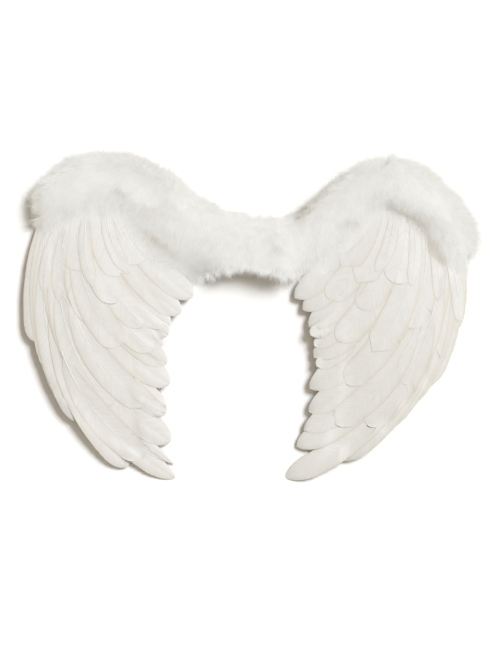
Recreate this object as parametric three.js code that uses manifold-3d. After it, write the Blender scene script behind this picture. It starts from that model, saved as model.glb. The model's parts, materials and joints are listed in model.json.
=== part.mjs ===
// Feathered costume wings, lying face up on a table. Millimetres, +Z up, the table at z = 0.
// A felt backing panel spans both wings. Overlapping feathers cover it, a deep fur trim wraps
// its leading edge and its middle, and two elastic arm loops lie folded flat behind it.
import * as THREE from 'three';
import { mergeVertices } from 'three/addons/utils/BufferGeometryUtils.js';
import Module from 'manifold-3d';

// Driving sizes
const span = 600; // across both wings
const height = 435; // from the top of the fur to the wing tips
const clearance = 0.32; // left between pieces that lie on each other

const panelThickness = 2;
const panelInset = 52; // how far the panel stays behind the tips of the flight feathers
const camber = 13; // how far the middle of each wing bows up
const tipDrop = 6; // how far each wing sinks towards its tip

const featherLength = 190;
const featherWidth = 33;
const quillThickness = 1; // at the root, thinning to tipThickness
const tipThickness = 0.7;

const furWidth = 112; // across the trim at its widest
const furHeight = 38;
const lockRadius = 13; // of each lock of the fur's fringe, at its root
const lockPitch = 17; // between neighbouring locks

const elasticWidth = 15;
const elasticThickness = 1.2;
const foldGap = 0.4; // between the two layers of a folded arm loop
const armLoopLength = 140; // of a loop folded flat, which is half the elastic in it
const armLoopSpacing = 24; // between the two loops, across the middle
const armLoopHeight = 2 * elasticThickness + foldGap;

// Places are shares of the half span and the half height, from the middle of the wings
const place = (x, y) => new THREE.Vector2(x * span / 2, y * height / 2);

// The tips of the outer row of feathers on each wing, from the outer edge round the wing tip and
// up the inner edge. bow is how far a line of feathers curves outward, as a share of it, and
// broad is how wide one feather is against the others. Coverts lie over them: at is a place in
// the row of tips, and back is how far the covert's tip lies behind that row, as a share of
// featherLength. blunt ones are cut square.
const wingPlans = {
  left: {
    side: -1,
    shoulder: [place(-0.898, 0.659), place(-0.788, 0.745), place(-0.619, 0.787)],
    tips: [
      { x: -0.939, y: -0.159, bow: 0.03 },
      { x: -0.859, y: -0.354, bow: 0.06 },
      { x: -0.801, y: -0.52, bow: 0.08 },
      { x: -0.74, y: -0.645, bow: 0.105 },
      { x: -0.54, y: -0.918, bow: 0.135 },
      { x: -0.332, y: -0.989, bow: 0.19, broad: 0.85 },
      { x: -0.332, y: -0.903, bow: 0.18, broad: 0.62 },
      { x: -0.35, y: -0.763, bow: 0.185, broad: 1.15 },
      { x: -0.372, y: -0.568, bow: 0.185, broad: 1.12 },
      { x: -0.354, y: -0.415, bow: 0.17, broad: 1.12 },
      { x: -0.367, y: -0.293, bow: 0.16, broad: 1.05 },
      { x: -0.385, y: -0.183, bow: 0.155 },
      { x: -0.354, y: -0.061, bow: 0.14, broad: 1.15 },
      { x: -0.305, y: 0.018, bow: 0.12 },
      { x: -0.252, y: 0.116, bow: 0.09 },
    ],
    coverts: [
      { kind: 'greater_covert', at: 6.1, back: 1.12 },
      { kind: 'greater_covert', at: 6.3, back: 0.83 },
      { kind: 'greater_covert', at: 6.3, back: 0.56 },
      { kind: 'greater_covert', at: 5, back: 0.26 },
      { kind: 'greater_covert', at: 7.7, back: 0.18 },
      { kind: 'greater_covert', at: 10.4, back: 0.09 },
      { kind: 'greater_covert', at: 11.3, back: 0.17 },
      { kind: 'median_covert', at: 8.7, back: 0.71 },
      { kind: 'median_covert', at: 9, back: 0.43 },
      { kind: 'median_covert', at: 11.1, back: 0.43 },
      { kind: 'lesser_covert', at: 9.1, back: 1.01 },
      { kind: 'lesser_covert', at: 12.2, back: 0.49 },
      { kind: 'lesser_covert', at: 13.7, back: 0.42 },
    ],
  },
  right: {
    side: 1,
    shoulder: [place(0.902, 0.464), place(0.79, 0.659), place(0.54, 0.781)],
    tips: [
      { x: 0.872, y: -0.11, bow: 0.04 },
      { x: 0.8, y: -0.3, bow: 0.06 },
      { x: 0.764, y: -0.44, bow: 0.08 },
      { x: 0.668, y: -0.562, bow: 0.1 },
      { x: 0.565, y: -0.7, bow: 0.12 },
      { x: 0.4, y: -0.878, bow: 0.145 },
      { x: 0.159, y: -0.983, bow: 0.19 },
      { x: 0.208, y: -0.793, bow: 0.18, broad: 1.12 },
      { x: 0.239, y: -0.696, bow: 0.18, broad: 1.05 },
      { x: 0.261, y: -0.58, bow: 0.17, broad: 1.12 },
      { x: 0.265, y: -0.439, bow: 0.155, broad: 1.15 },
      { x: 0.283, y: -0.25, bow: 0.14, broad: 1.25 },
      { x: 0.261, y: -0.067, bow: 0.115, broad: 1.15 },
      { x: 0.235, y: 0.037, bow: 0.1 },
      { x: 0.199, y: 0.11, bow: 0.09 },
    ],
    coverts: [
      { kind: 'greater_covert', at: 6.2, back: 1.33 },
      { kind: 'greater_covert', at: 6.2, back: 1.01 },
      { kind: 'greater_covert', at: 6.1, back: 0.66 },
      { kind: 'greater_covert', at: 7.2, back: 0.29 },
      { kind: 'greater_covert', at: 9.2, back: 0.3 },
      { kind: 'greater_covert', at: 11, back: 0.2 },
      { kind: 'greater_covert', at: 12.6, back: 0.2 },
      { kind: 'median_covert', at: 8, back: 1.04 },
      { kind: 'median_covert', at: 9.4, back: 0.56, blunt: true },
      { kind: 'median_covert', at: 11.2, back: 0.44 },
      { kind: 'lesser_covert', at: 10.3, back: 0.9 },
      { kind: 'lesser_covert', at: 12, back: 0.45, blunt: true },
      { kind: 'lesser_covert', at: 13.4, back: 0.39, blunt: true },
    ],
  },
};

// How long and wide the feathers of each kind are, as shares of featherLength and featherWidth
const featherKinds = {
  flight: { long: 1.25, wide: 1 },
  greater_covert: { long: 0.95, wide: 1.15 },
  median_covert: { long: 0.85, wide: 1.2 },
  lesser_covert: { long: 0.7, wide: 1.25 },
};

// The outline of one feather: its width along it, from the quill's root to the tip
const vane = [
  { at: 0, wide: 0.18 },
  { at: 0.17, wide: 0.52 },
  { at: 0.38, wide: 0.86 },
  { at: 0.6, wide: 1 },
  { at: 0.77, wide: 1 },
  { at: 0.89, wide: 0.9 },
  { at: 0.96, wide: 0.66 },
  { at: 1, wide: 0.22 },
];
const bluntTip = 0.66; // the least width towards the tip of a blunt feather

// The fur trim from the left wing's outer edge to the right wing's. wide and tall are shares
// of furWidth and furHeight.
const furSections = [
  { x: -0.938, y: 0.464, wide: 0.16, tall: 0.42 },
  { x: -0.916, y: 0.568, wide: 0.4, tall: 0.75 },
  { x: -0.854, y: 0.69, wide: 0.62, tall: 0.95 },
  { x: -0.761, y: 0.775, wide: 0.72, tall: 1 },
  { x: -0.642, y: 0.818, wide: 0.68, tall: 1 },
  { x: -0.522, y: 0.793, wide: 0.7, tall: 0.97 },
  { x: -0.416, y: 0.671, wide: 0.9, tall: 0.9 },
  { x: -0.305, y: 0.5, wide: 1.02, tall: 0.82 },
  { x: -0.155, y: 0.403, wide: 0.93, tall: 0.8 },
  { x: 0, y: 0.397, wide: 0.79, tall: 0.85 },
  { x: 0.142, y: 0.403, wide: 0.74, tall: 0.88 },
  { x: 0.261, y: 0.464, wide: 0.68, tall: 0.92 },
  { x: 0.385, y: 0.61, wide: 0.64, tall: 0.97 },
  { x: 0.478, y: 0.745, wide: 0.6, tall: 1 },
  { x: 0.597, y: 0.806, wide: 0.62, tall: 1 },
  { x: 0.717, y: 0.757, wide: 0.6, tall: 1 },
  { x: 0.823, y: 0.641, wide: 0.6, tall: 1 },
  { x: 0.903, y: 0.494, wide: 0.52, tall: 0.9 },
  { x: 0.956, y: 0.323, wide: 0.2, tall: 0.45 },
];

const materials = {
  feather: new THREE.MeshStandardMaterial({ color: 0xe9e6df, roughness: 0.7 }),
  fur: new THREE.MeshStandardMaterial({ color: 0xe6e6e1, roughness: 0.95 }),
  felt: new THREE.MeshStandardMaterial({ color: 0xefece4, roughness: 0.85 }),
  elastic: new THREE.MeshStandardMaterial({ color: 0xf1f0ec, roughness: 0.8 }),
};

const wasm = await Module();
wasm.setup();

// A closed three.js geometry as a solid that can be joined and cut
function solidOf(geometry) {
  const bare = new THREE.BufferGeometry();
  bare.setAttribute('position', geometry.getAttribute('position'));
  bare.setIndex(geometry.getIndex());
  const merged = mergeVertices(bare, 1e-3);
  return new wasm.Manifold(new wasm.Mesh({
    numProp: 3,
    vertProperties: new Float32Array(merged.attributes.position.array),
    triVerts: new Uint32Array(merged.index.array),
  }));
}

// The way back, for a mesh
function geometryOf(solid) {
  const { vertProperties, triVerts } = solid.getMesh();
  const geometry = new THREE.BufferGeometry();
  geometry.setAttribute('position', new THREE.BufferAttribute(vertProperties, 3));
  geometry.setIndex(new THREE.BufferAttribute(triVerts, 1));
  return geometry;
}

// A closed skin over rings of points, which all hold the same even number of them. Its
// diagonals turn from face to face, so that every second point can stand up as a peak.
function skin(rings) {
  const around = rings[0].length;
  const triangles = [];
  for (let i = 0; i < rings.length - 1; i++) {
    for (let k = 0; k < around; k++) {
      const a = i * around + k;
      const b = i * around + (k + 1) % around;
      const c = b + around;
      const d = a + around;
      triangles.push(...((i + k) % 2 ? [a, b, c, a, c, d] : [a, b, d, b, c, d]));
    }
  }
  const last = (rings.length - 1) * around;
  for (let k = 1; k < around - 1; k++) {
    triangles.push(0, k + 1, k, last, last + k, last + k + 1);
  }
  const geometry = new THREE.BufferGeometry().setFromPoints(rings.flat());
  geometry.setIndex(triangles);
  return geometry;
}

const asMesh = (name, geometry, material) => {
  const mesh = new THREE.Mesh(geometry, material);
  mesh.name = name;
  return mesh;
};

// The height of the panel's underside. Each wing bows up about a point out along it.
const bowMiddle = { x: 0.63, y: -0.05 };
const bowReach = { x: 0.63, y: 1.22 };

function underPanel(x, y) {
  const across = (Math.abs(x) / (span / 2) - bowMiddle.x) / bowReach.x;
  const along = (y / (height / 2) - bowMiddle.y) / bowReach.y;
  const away = Math.min(1, Math.hypot(across, along));
  const low = Math.min(0, y / (height / 2));
  return armLoopHeight + clearance
    + camber * Math.cos(away * Math.PI / 2) ** 2
    - tipDrop * low ** 6;
}

// A height that runs straight between the corners of a square grid, so that a sheet built on
// the same grid has exactly this height everywhere
function onGrid(step, heightAt) {
  const kept = new Map();
  const corner = (i, k) => {
    const key = `${i},${k}`;
    if (!kept.has(key)) kept.set(key, heightAt(i * step, k * step));
    return kept.get(key);
  };
  const at = (x, y) => {
    const i = Math.floor(x / step);
    const k = Math.floor(y / step);
    const u = x / step - i;
    const v = y / step - k;
    const diagonal = corner(i, k) * (1 - Math.max(u, v)) + corner(i + 1, k + 1) * Math.min(u, v);
    return diagonal + Math.abs(u - v) * (u > v ? corner(i + 1, k) : corner(i, k + 1));
  };
  return { step, corner, at };
}

// A slab between two such heights that covers the wings with room to spare
function slab(bottom, top) {
  const step = top.step;
  const countX = Math.ceil(0.6 * span / step);
  const countY = Math.ceil(0.62 * height / step);
  const columns = 2 * countX + 1;
  const rows = 2 * countY + 1;
  const points = [];
  for (const level of [bottom, top]) {
    for (let k = -countY; k <= countY; k++) {
      for (let i = -countX; i <= countX; i++) {
        points.push(new THREE.Vector3(i * step, k * step, level.corner(i, k)));
      }
    }
  }
  const layer = columns * rows;
  const triangles = [];
  for (let k = 0; k < rows - 1; k++) {
    for (let i = 0; i < columns - 1; i++) {
      const a = k * columns + i;
      const b = a + 1;
      const c = b + columns;
      const d = a + columns;
      triangles.push(layer + a, layer + b, layer + c, layer + a, layer + c, layer + d);
      triangles.push(a, c, b, a, d, c);
    }
  }
  const wall = (a, b) => triangles.push(a, b, layer + b, a, layer + b, layer + a);
  for (let i = 0; i < columns - 1; i++) {
    wall(i, i + 1);
    wall(layer - 1 - i, layer - 2 - i);
  }
  for (let k = 1; k < rows; k++) {
    wall(k * columns - 1, (k + 1) * columns - 1);
    wall(k * columns, (k - 1) * columns);
  }
  const geometry = new THREE.BufferGeometry().setFromPoints(points);
  geometry.setIndex(triangles);
  return solidOf(geometry);
}

// A value between two rows of a table, at a place counted in rows
function between(table, column, q) {
  const i = Math.min(table.length - 2, Math.floor(q));
  return THREE.MathUtils.lerp(table[i][column], table[i + 1][column], q - i);
}

// The line that feathers follow from a wing's shoulder to its tips, at place q in their row
function featherLine(plan, q) {
  const [first, middle, last] = plan.shoulder;
  const t = q / (plan.tips.length - 1);
  const root = first.clone().multiplyScalar((1 - t) * (1 - 2 * t))
    .addScaledVector(middle, 4 * t * (1 - t))
    .addScaledVector(last, t * (2 * t - 1));
  const tip = place(between(plan.tips, 'x', q), between(plan.tips, 'y', q));
  const along = tip.clone().sub(root);
  const outward = new THREE.Vector2(-along.y, along.x).multiplyScalar(plan.side);
  const bow = between(plan.tips, 'bow', q);
  const pull = root.clone().lerp(tip, 0.5).addScaledVector(outward, 2 * bow);
  return new THREE.QuadraticBezierCurve(root, pull, tip);
}

// One feather as a lattice of left edge, quill and right edge, from root to tip
function featherLattice(plan, { kind, at, back = 0, broad = 1, blunt = false }) {
  const { long, wide } = featherKinds[kind];
  const line = featherLine(plan, at);
  const whole = line.getLength();
  const tipAt = whole - back * featherLength;
  const rootAt = Math.max(0, tipAt - long * featherLength);
  return vane.map((row) => {
    const share = THREE.MathUtils.lerp(rootAt, tipAt, row.at) / whole;
    const centre = line.getPointAt(share);
    const tangent = line.getTangentAt(share);
    const least = blunt && row.at > 0.5 ? bluntTip : 0;
    const half = Math.max(row.wide, least) * wide * broad * featherWidth / 2;
    const thick = THREE.MathUtils.lerp(quillThickness, tipThickness, row.at);
    const point = (offset, deep) => ({
      x: centre.x - tangent.y * offset,
      y: centre.y + tangent.x * offset,
      z: 0,
      deep,
    });
    return [point(half, 0), point(0, thick), point(-half, 0)];
  });
}

// The triangles of a lattice, as triples of its points
function latticeTriangles(lattice) {
  const found = [];
  for (let j = 0; j < lattice.length - 1; j++) {
    for (const k of [0, 1]) {
      const [a, b] = [lattice[j][k], lattice[j][k + 1]];
      const [d, c] = [lattice[j + 1][k], lattice[j + 1][k + 1]];
      found.push([a, b, c], [a, c, d]);
    }
  }
  return found;
}

// Shares of a triangle's corners at a point of the plan, or null outside it
function sharesAt([a, b, c], x, y) {
  const area = (b.x - a.x) * (c.y - a.y) - (c.x - a.x) * (b.y - a.y);
  const v = ((x - a.x) * (c.y - a.y) - (c.x - a.x) * (y - a.y)) / area;
  const w = ((b.x - a.x) * (y - a.y) - (x - a.x) * (b.y - a.y)) / area;
  return v < 0 || w < 0 || v + w > 1 ? null : [1 - v - w, v, w];
}

// The top of what lies on a wing at a point, or -Infinity off it
function topOf(pile, x, y) {
  let top = -Infinity;
  for (const { box, triangles } of pile) {
    if (x < box.min.x || x > box.max.x || y < box.min.y || y > box.max.y) continue;
    for (const triangle of triangles) {
      const shares = sharesAt(triangle, x, y);
      if (!shares) continue;
      top = Math.max(top, weigh(triangle, shares, (p) => p.z));
    }
  }
  return top;
}

// Points spread over a triangle, as shares of its corners
const samplesAcross = 12;

function spreadShares() {
  const spread = [];
  for (let i = 0; i <= samplesAcross; i++) {
    for (let k = 0; k <= samplesAcross - i; k++) {
      spread.push([samplesAcross - i - k, i, k].map((n) => n / samplesAcross));
    }
  }
  return spread;
}

const weigh = (triangle, shares, valueOf) =>
  triangle.reduce((sum, p, n) => sum + shares[n] * valueOf(p), 0);

// Lowers a feather onto the panel and the feathers already there. Where its underside would
// come too near, the nearest points of its lattice are raised, the worst place first. Then
// it is made stiff: no point of an edge or of the quill hangs below its neighbours.
const stiffeningPasses = 3;

function settle(lattice, pile) {
  const points = lattice.flat();
  for (const p of points) {
    p.z = Math.max(0, ground.at(p.x, p.y) + panelThickness + clearance) + p.deep;
  }
  const triangles = latticeTriangles(lattice);
  const samples = triangles.flatMap((triangle) => spreadShares().map((shares) => {
    const x = weigh(triangle, shares, (p) => p.x);
    const y = weigh(triangle, shares, (p) => p.y);
    const floor = Math.max(ground.at(x, y) + panelThickness, topOf(pile, x, y));
    return { triangle, shares, least: floor + clearance };
  }));
  const lack = ({ triangle, shares, least }) =>
    least - weigh(triangle, shares, (p) => p.z - p.deep);
  for (;;) {
    const worst = samples.reduce((a, b) => (lack(b) > lack(a) ? b : a));
    const missing = lack(worst);
    if (missing < 0.01) break;
    const weight = worst.shares.reduce((sum, share) => sum + share * share, 0);
    worst.triangle.forEach((p, n) => { p.z += missing * worst.shares[n] / weight; });
  }
  for (let pass = 0; pass < stiffeningPasses; pass++) {
    for (let j = 1; j < lattice.length - 1; j++) {
      for (const k of [0, 1, 2]) {
        const taut = (lattice[j - 1][k].z + lattice[j + 1][k].z) / 2;
        lattice[j][k].z = Math.max(lattice[j][k].z, taut);
      }
    }
  }
  return { box: new THREE.Box2().setFromPoints(points), triangles };
}

// A settled lattice as a thin solid with sharp edges, thickest along its quill
function featherGeometry(lattice) {
  const over = lattice.flat();
  const under = over.map(({ x, y, z, deep }) => ({ x, y, z: z - deep, deep }));
  const corners = [...over, ...under];
  const triangles = [];
  const add = (a, b, c) => triangles.push(...[a, b, c].map((p) => corners.indexOf(p)));
  const below = (p) => (p.deep ? under[over.indexOf(p)] : p);
  for (const [a, b, c] of latticeTriangles(lattice)) {
    add(a, b, c);
    add(below(a), below(c), below(b));
  }
  for (const [left, quill, right] of [lattice[0], lattice.at(-1).toReversed()]) {
    add(quill, left, below(quill));
    add(right, quill, below(quill));
  }
  const geometry = new THREE.BufferGeometry();
  geometry.setFromPoints(corners.map(({ x, y, z }) => new THREE.Vector3(x, y, z)));
  geometry.setIndex(triangles);
  return geometry;
}

// All the feathers of one wing, each laid on those before it
function makeFeathers(wingName, plan, pile) {
  const flight = plan.tips.map(({ broad }, at) => ({ kind: 'flight', at, broad }));
  const made = { flight: 0, greater_covert: 0, median_covert: 0, lesser_covert: 0 };
  return [...flight, ...plan.coverts].map((feather) => {
    const lattice = featherLattice(plan, feather);
    pile.push(settle(lattice, pile));
    made[feather.kind] += 1;
    const number = String(made[feather.kind]).padStart(2, '0');
    const name = `${wingName}_${feather.kind}_${number}`;
    return asMesh(name, featherGeometry(lattice), materials.feather);
  });
}

// The middle of the fur trim and, at any share of its length, the way across it
const furLine = new THREE.CatmullRomCurve3(
  furSections.map(({ x, y }) => new THREE.Vector3(...place(x, y), 0)),
  false,
  'centripetal',
);

function furAt(t) {
  const q = t * (furSections.length - 1);
  const tangent = furLine.getTangent(t);
  return {
    centre: furLine.getPoint(t),
    tangent,
    across: new THREE.Vector3(-tangent.y, tangent.x, 0),
    half: between(furSections, 'wide', q) * furWidth / 2,
    tall: between(furSections, 'tall', q) * furHeight,
  };
}

// The plan of the panel: its leading edge runs inside the fur, and its other edges stay behind
// the feather tips and, across the middle, inside the fur again
const leadingEdgeInFur = 0.1; // beyond the fur's middle, as a share of its half width
const middleEdgeInFur = -0.5;
const middlePart = { from: 0.42, to: 0.58 }; // of the fur's length
const leadingCorners = 28;
const middleCorners = 4;

function edgeInFur(from, to, corners, share) {
  const points = [];
  for (let i = 0; i <= corners; i++) {
    const { centre, across, half } = furAt(THREE.MathUtils.lerp(from, to, i / corners));
    points.push(centre.addScaledVector(across, share * half));
  }
  return points;
}

function edgeBehindTips(plan) {
  return plan.tips.map((tip, at) => {
    const line = featherLine(plan, at);
    return line.getPointAt(1 - panelInset / line.getLength());
  });
}

function panelOutline() {
  const points = [
    ...edgeInFur(0, 1, leadingCorners, leadingEdgeInFur),
    ...edgeBehindTips(wingPlans.right),
    ...edgeInFur(middlePart.to, middlePart.from, middleCorners, middleEdgeInFur),
    ...edgeBehindTips(wingPlans.left).reverse(),
  ];
  return points.map(({ x, y }) => new THREE.Vector2(x, y));
}

const panelGridStep = 40;
const ground = onGrid(panelGridStep, underPanel);

function makePanel() {
  const top = onGrid(panelGridStep, (x, y) => underPanel(x, y) + panelThickness);
  const prism = new THREE.ExtrudeGeometry(new THREE.Shape(panelOutline()), {
    depth: 2 * furHeight,
    bevelEnabled: false,
  }).translate(0, 0, -furHeight);
  return geometryOf(slab(ground, top).intersect(solidOf(prism)));
}

// The fur: a fat soft roll whose skin stands up in staggered tufts, combed down both its sides,
// with a fringe of longer locks fused along its rims
const furRings = 58;
const furSides = 14;
const rollMiddle = 0.42; // height of the roll's middle, as a share of the section
const valleyShare = 0.8; // of the full section, between the tufts
const tuftLean = 0.16; // radians that a tuft's tip is combed down
const tuftScatter = 0.14; // how unevenly the tufts stand, as a share of the section

function furPoint({ centre, across, half, tall }, angle, share) {
  return centre.clone()
    .addScaledVector(across, Math.cos(angle) * half * share)
    .setZ(tall * THREE.MathUtils.lerp(rollMiddle, 1, Math.sin(angle) * share));
}

function makeRoll() {
  THREE.MathUtils.seededRandom(7);
  const rings = [];
  for (let i = 0; i <= furRings; i++) {
    const section = furAt(i / furRings);
    const ring = [];
    for (let k = 0; k < furSides; k++) {
      const angle = 2 * Math.PI * (k + 0.5) / furSides;
      const isTip = (i + k) % 2 === 0;
      const scatter = tuftScatter * (THREE.MathUtils.seededRandom() - 0.5);
      const share = isTip ? 1 - tuftScatter / 2 + scatter : valleyShare;
      const lean = isTip ? tuftLean * Math.cos(angle) : 0;
      ring.push(furPoint(section, angle - lean, share));
    }
    rings.push(ring);
  }
  return solidOf(skin(rings));
}

// One lock of the fringe, from inside the roll out over its rim. side is 1 at the leading rim
// and -1 at the trailing one.
const lockRoot = 0.5; // from the roll's middle to a lock's root, as a share of its half width
const lockPoint = 1.12; // and to its point
const lockRise = 0.3; // radians that its root lies above the roll's middle
const lockScatter = 0.5; // how unevenly the locks lie along the trim
const lockDrop = 0.2; // how far they hang down, as a share of their length

function makeLock(section, side) {
  const angle = side > 0 ? lockRise : Math.PI - lockRise;
  const root = furPoint(section, angle, lockRoot);
  const radius = lockRadius * Math.min(1, 4 * section.half / furWidth);
  const length = section.half * (lockPoint - lockRoot);
  const sideways = lockScatter * (THREE.MathUtils.seededRandom() - 0.5);
  const way = section.across.clone()
    .multiplyScalar(side)
    .addScaledVector(section.tangent, sideways)
    .setZ(-lockDrop)
    .normalize();
  const upright = new THREE.Vector3(0, 1, 0);
  const cone = new THREE.ConeGeometry(radius, length, 4, 1).translate(0, length / 2, 0);
  cone.applyQuaternion(new THREE.Quaternion().setFromUnitVectors(upright, way));
  cone.translate(root.x, root.y, root.z);
  return solidOf(cone);
}

const middleFringe = { from: 0.4, to: 0.6 }; // where the trailing rim has a fringe too

function makeLocks() {
  const locks = [];
  const count = Math.round(furLine.getLength() / lockPitch);
  for (let i = 1; i < count; i++) {
    const t = furLine.getUtoTmapping(i / count);
    locks.push(makeLock(furAt(t), 1));
    if (t > middleFringe.from && t < middleFringe.to) locks.push(makeLock(furAt(t), -1));
  }
  return locks;
}

// Whether a point of the plan lies inside an outline
function insideOf(corners, x, y) {
  let inside = false;
  corners.forEach((a, i) => {
    const b = corners[(i + 1) % corners.length];
    const crossing = a.x + (b.x - a.x) * (y - a.y) / (b.y - a.y);
    if ((a.y > y) !== (b.y > y) && x < crossing) inside = !inside;
  });
  return inside;
}

// The height that the fur has to stay above. Over every cell of a grid that the panel or a
// feather reaches into, it is the top of what lies there.
const coverStep = 12;
const panelSamplePitch = 2.5;
const farBelow = -60; // well under the table

function coverOf(pile) {
  const tops = new Map();
  const keyOf = (i, k) => `${i},${k}`;
  const cover = (box, top) => {
    const low = box.min.clone().divideScalar(coverStep).floor();
    const high = box.max.clone().divideScalar(coverStep).ceil();
    for (let i = low.x; i <= high.x; i++) {
      for (let k = low.y; k <= high.y; k++) {
        const highest = tops.get(keyOf(i, k)) ?? farBelow;
        tops.set(keyOf(i, k), Math.max(highest, top + clearance));
      }
    }
  };
  for (const triangle of pile.flatMap(({ triangles }) => triangles)) {
    const heights = triangle.map((p) => p.z);
    cover(new THREE.Box2().setFromPoints(triangle), Math.max(...heights));
  }
  const coverPanel = (x, y) => {
    const point = new THREE.Vector2(x, y);
    cover(new THREE.Box2(point, point), ground.at(x, y) + panelThickness);
  };
  const corners = panelOutline();
  const { min, max } = new THREE.Box2().setFromPoints(corners);
  const edge = new THREE.Shape([...corners, corners[0]]);
  const edgePoints = edge.getSpacedPoints(Math.round(edge.getLength() / panelSamplePitch));
  for (const { x, y } of edgePoints) coverPanel(x, y);
  for (let x = min.x; x < max.x; x += panelSamplePitch) {
    for (let y = min.y; y < max.y; y += panelSamplePitch) {
      if (insideOf(corners, x, y)) coverPanel(x, y);
    }
  }
  return onGrid(coverStep, (x, y) => {
    return tops.get(keyOf(Math.round(x / coverStep), Math.round(y / coverStep))) ?? farBelow / 2;
  });
}

function makeFur(pile) {
  const whole = wasm.Manifold.union([makeRoll(), ...makeLocks()]);
  const cover = slab(onGrid(coverStep, () => farBelow), coverOf(pile));
  const table = new THREE.BoxGeometry(2 * span, 2 * height, -farBelow);
  table.translate(0, 0, farBelow / 2);
  const bodies = whole.subtract(cover).subtract(solidOf(table)).decompose();
  return geometryOf(bodies.reduce((a, b) => (b.volume() > a.volume() ? b : a)));
}

// An arm loop folded flat: a long thin ring seen from its edge, from the middle outward
const foldSegments = 4;

function makeArmLoop(side) {
  const ring = (inset) => {
    const radius = armLoopHeight / 2 - inset;
    const path = new THREE.Path();
    path.absarc(armLoopLength - armLoopHeight / 2, 0, radius, -Math.PI / 2, Math.PI / 2);
    path.absarc(armLoopHeight / 2, 0, radius, Math.PI / 2, 3 * Math.PI / 2);
    return path.getPoints(foldSegments);
  };
  const shape = new THREE.Shape(ring(0));
  shape.holes.push(new THREE.Path(ring(elasticThickness)));
  const geometry = new THREE.ExtrudeGeometry(shape, { depth: elasticWidth, bevelEnabled: false });
  geometry.rotateX(Math.PI / 2);
  if (side < 0) geometry.rotateZ(Math.PI);
  return geometry;
}

const wings = new THREE.Group();
const pile = [];
for (const [name, plan] of Object.entries(wingPlans)) wings.add(...makeFeathers(name, plan, pile));
wings.add(asMesh('backing_panel', makePanel(), materials.felt));
wings.add(asMesh('fur_trim', makeFur(pile), materials.fur));

const armLoopsAt = place(0, 0.37);
for (const [name, { side }] of Object.entries(wingPlans)) {
  const loop = asMesh(`${name}_arm_loop`, makeArmLoop(side), materials.elastic);
  loop.position.x = side * armLoopSpacing / 2;
  loop.position.y = armLoopsAt.y + side * elasticWidth / 2;
  loop.position.z = armLoopHeight / 2;
  wings.add(loop);
}

// The origin lies on the table under the middle of the whole
const middle = new THREE.Box3().setFromObject(wings).getCenter(new THREE.Vector3());
wings.position.set(-middle.x, -middle.y, 0);

export default wings;
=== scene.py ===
# %% [markdown]
# # Feathered costume wings
# The wings lie face up on a white table: two fans of white feathers, glued like roof tiles to a
# sheet of felt, with long fur sewn over the leading edge and the middle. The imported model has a
# plain solid for every feather, for the fur, for the felt and for the two elastic arm loops. This
# lesson keeps those places and dresses each solid: every feather gets a shaft and split barbs,
# the fur gets its hairs, the felt gets its fibres and the elastic gets its woven ribs.

import json
import math

import bmesh
import bpy
import numpy as np
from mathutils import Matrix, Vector, noise
from mathutils.bvhtree import BVHTree

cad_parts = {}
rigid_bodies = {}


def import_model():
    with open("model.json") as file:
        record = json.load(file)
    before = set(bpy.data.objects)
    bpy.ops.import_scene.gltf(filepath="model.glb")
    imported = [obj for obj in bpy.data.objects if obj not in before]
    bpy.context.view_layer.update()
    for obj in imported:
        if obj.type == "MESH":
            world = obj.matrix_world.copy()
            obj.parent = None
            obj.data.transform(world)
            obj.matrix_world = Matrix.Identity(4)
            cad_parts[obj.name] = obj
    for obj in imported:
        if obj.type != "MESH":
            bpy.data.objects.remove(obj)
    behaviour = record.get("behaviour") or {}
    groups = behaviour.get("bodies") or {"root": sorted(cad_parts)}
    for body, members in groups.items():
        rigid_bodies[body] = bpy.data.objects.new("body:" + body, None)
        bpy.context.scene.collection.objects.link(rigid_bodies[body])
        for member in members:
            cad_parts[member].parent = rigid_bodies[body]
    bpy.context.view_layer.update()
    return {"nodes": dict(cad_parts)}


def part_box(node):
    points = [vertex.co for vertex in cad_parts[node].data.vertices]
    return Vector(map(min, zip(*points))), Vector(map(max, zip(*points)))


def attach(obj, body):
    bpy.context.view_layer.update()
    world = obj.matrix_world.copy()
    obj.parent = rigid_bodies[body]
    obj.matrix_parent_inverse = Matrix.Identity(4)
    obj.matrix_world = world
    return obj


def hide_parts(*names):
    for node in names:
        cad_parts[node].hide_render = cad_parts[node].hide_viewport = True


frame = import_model()
MM = 0.001

# %% [markdown]
# ## Meshes from rows of numbers
# A feather or a lock of fur holds thousands of points that follow a rule, so the quickest way to
# make one is to work the points out with numpy and hand them to Blender in one go. Each point can
# carry extra numbers too, such as how far along the feather it lies, and the materials read them.

# %% A helper that turns points and faces into a piece
def make_piece(name, points, quads=(), triangles=()):
    quads = np.asarray(quads, dtype=np.int32).reshape(-1, 4)
    triangles = np.asarray(triangles, dtype=np.int32).reshape(-1, 3)
    corners = np.concatenate([quads.ravel(), triangles.ravel()])
    sizes = np.concatenate([np.full(len(quads), 4), np.full(len(triangles), 3)])
    mesh = bpy.data.meshes.new(name)
    mesh.vertices.add(len(points))
    mesh.vertices.foreach_set("co", np.asarray(points, dtype=np.float32).ravel())
    mesh.loops.add(len(corners))
    mesh.loops.foreach_set("vertex_index", corners)
    mesh.polygons.add(len(sizes))
    mesh.polygons.foreach_set("loop_start", np.cumsum(sizes) - sizes)
    mesh.update(calc_edges=True)
    mesh.shade_smooth()
    piece = bpy.data.objects.new(name, mesh)
    bpy.context.collection.objects.link(piece)
    return piece


def mark(piece, name, values):
    layer = piece.data.attributes.new(name, "FLOAT", "POINT")
    layer.data.foreach_set("value", np.asarray(values, dtype=np.float32))


def dress(piece, finish, slot, *nodes):
    piece.data.materials.clear()
    piece.data.materials.append(finish)
    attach(piece, "root")
    if nodes:
        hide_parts(*nodes)


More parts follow.
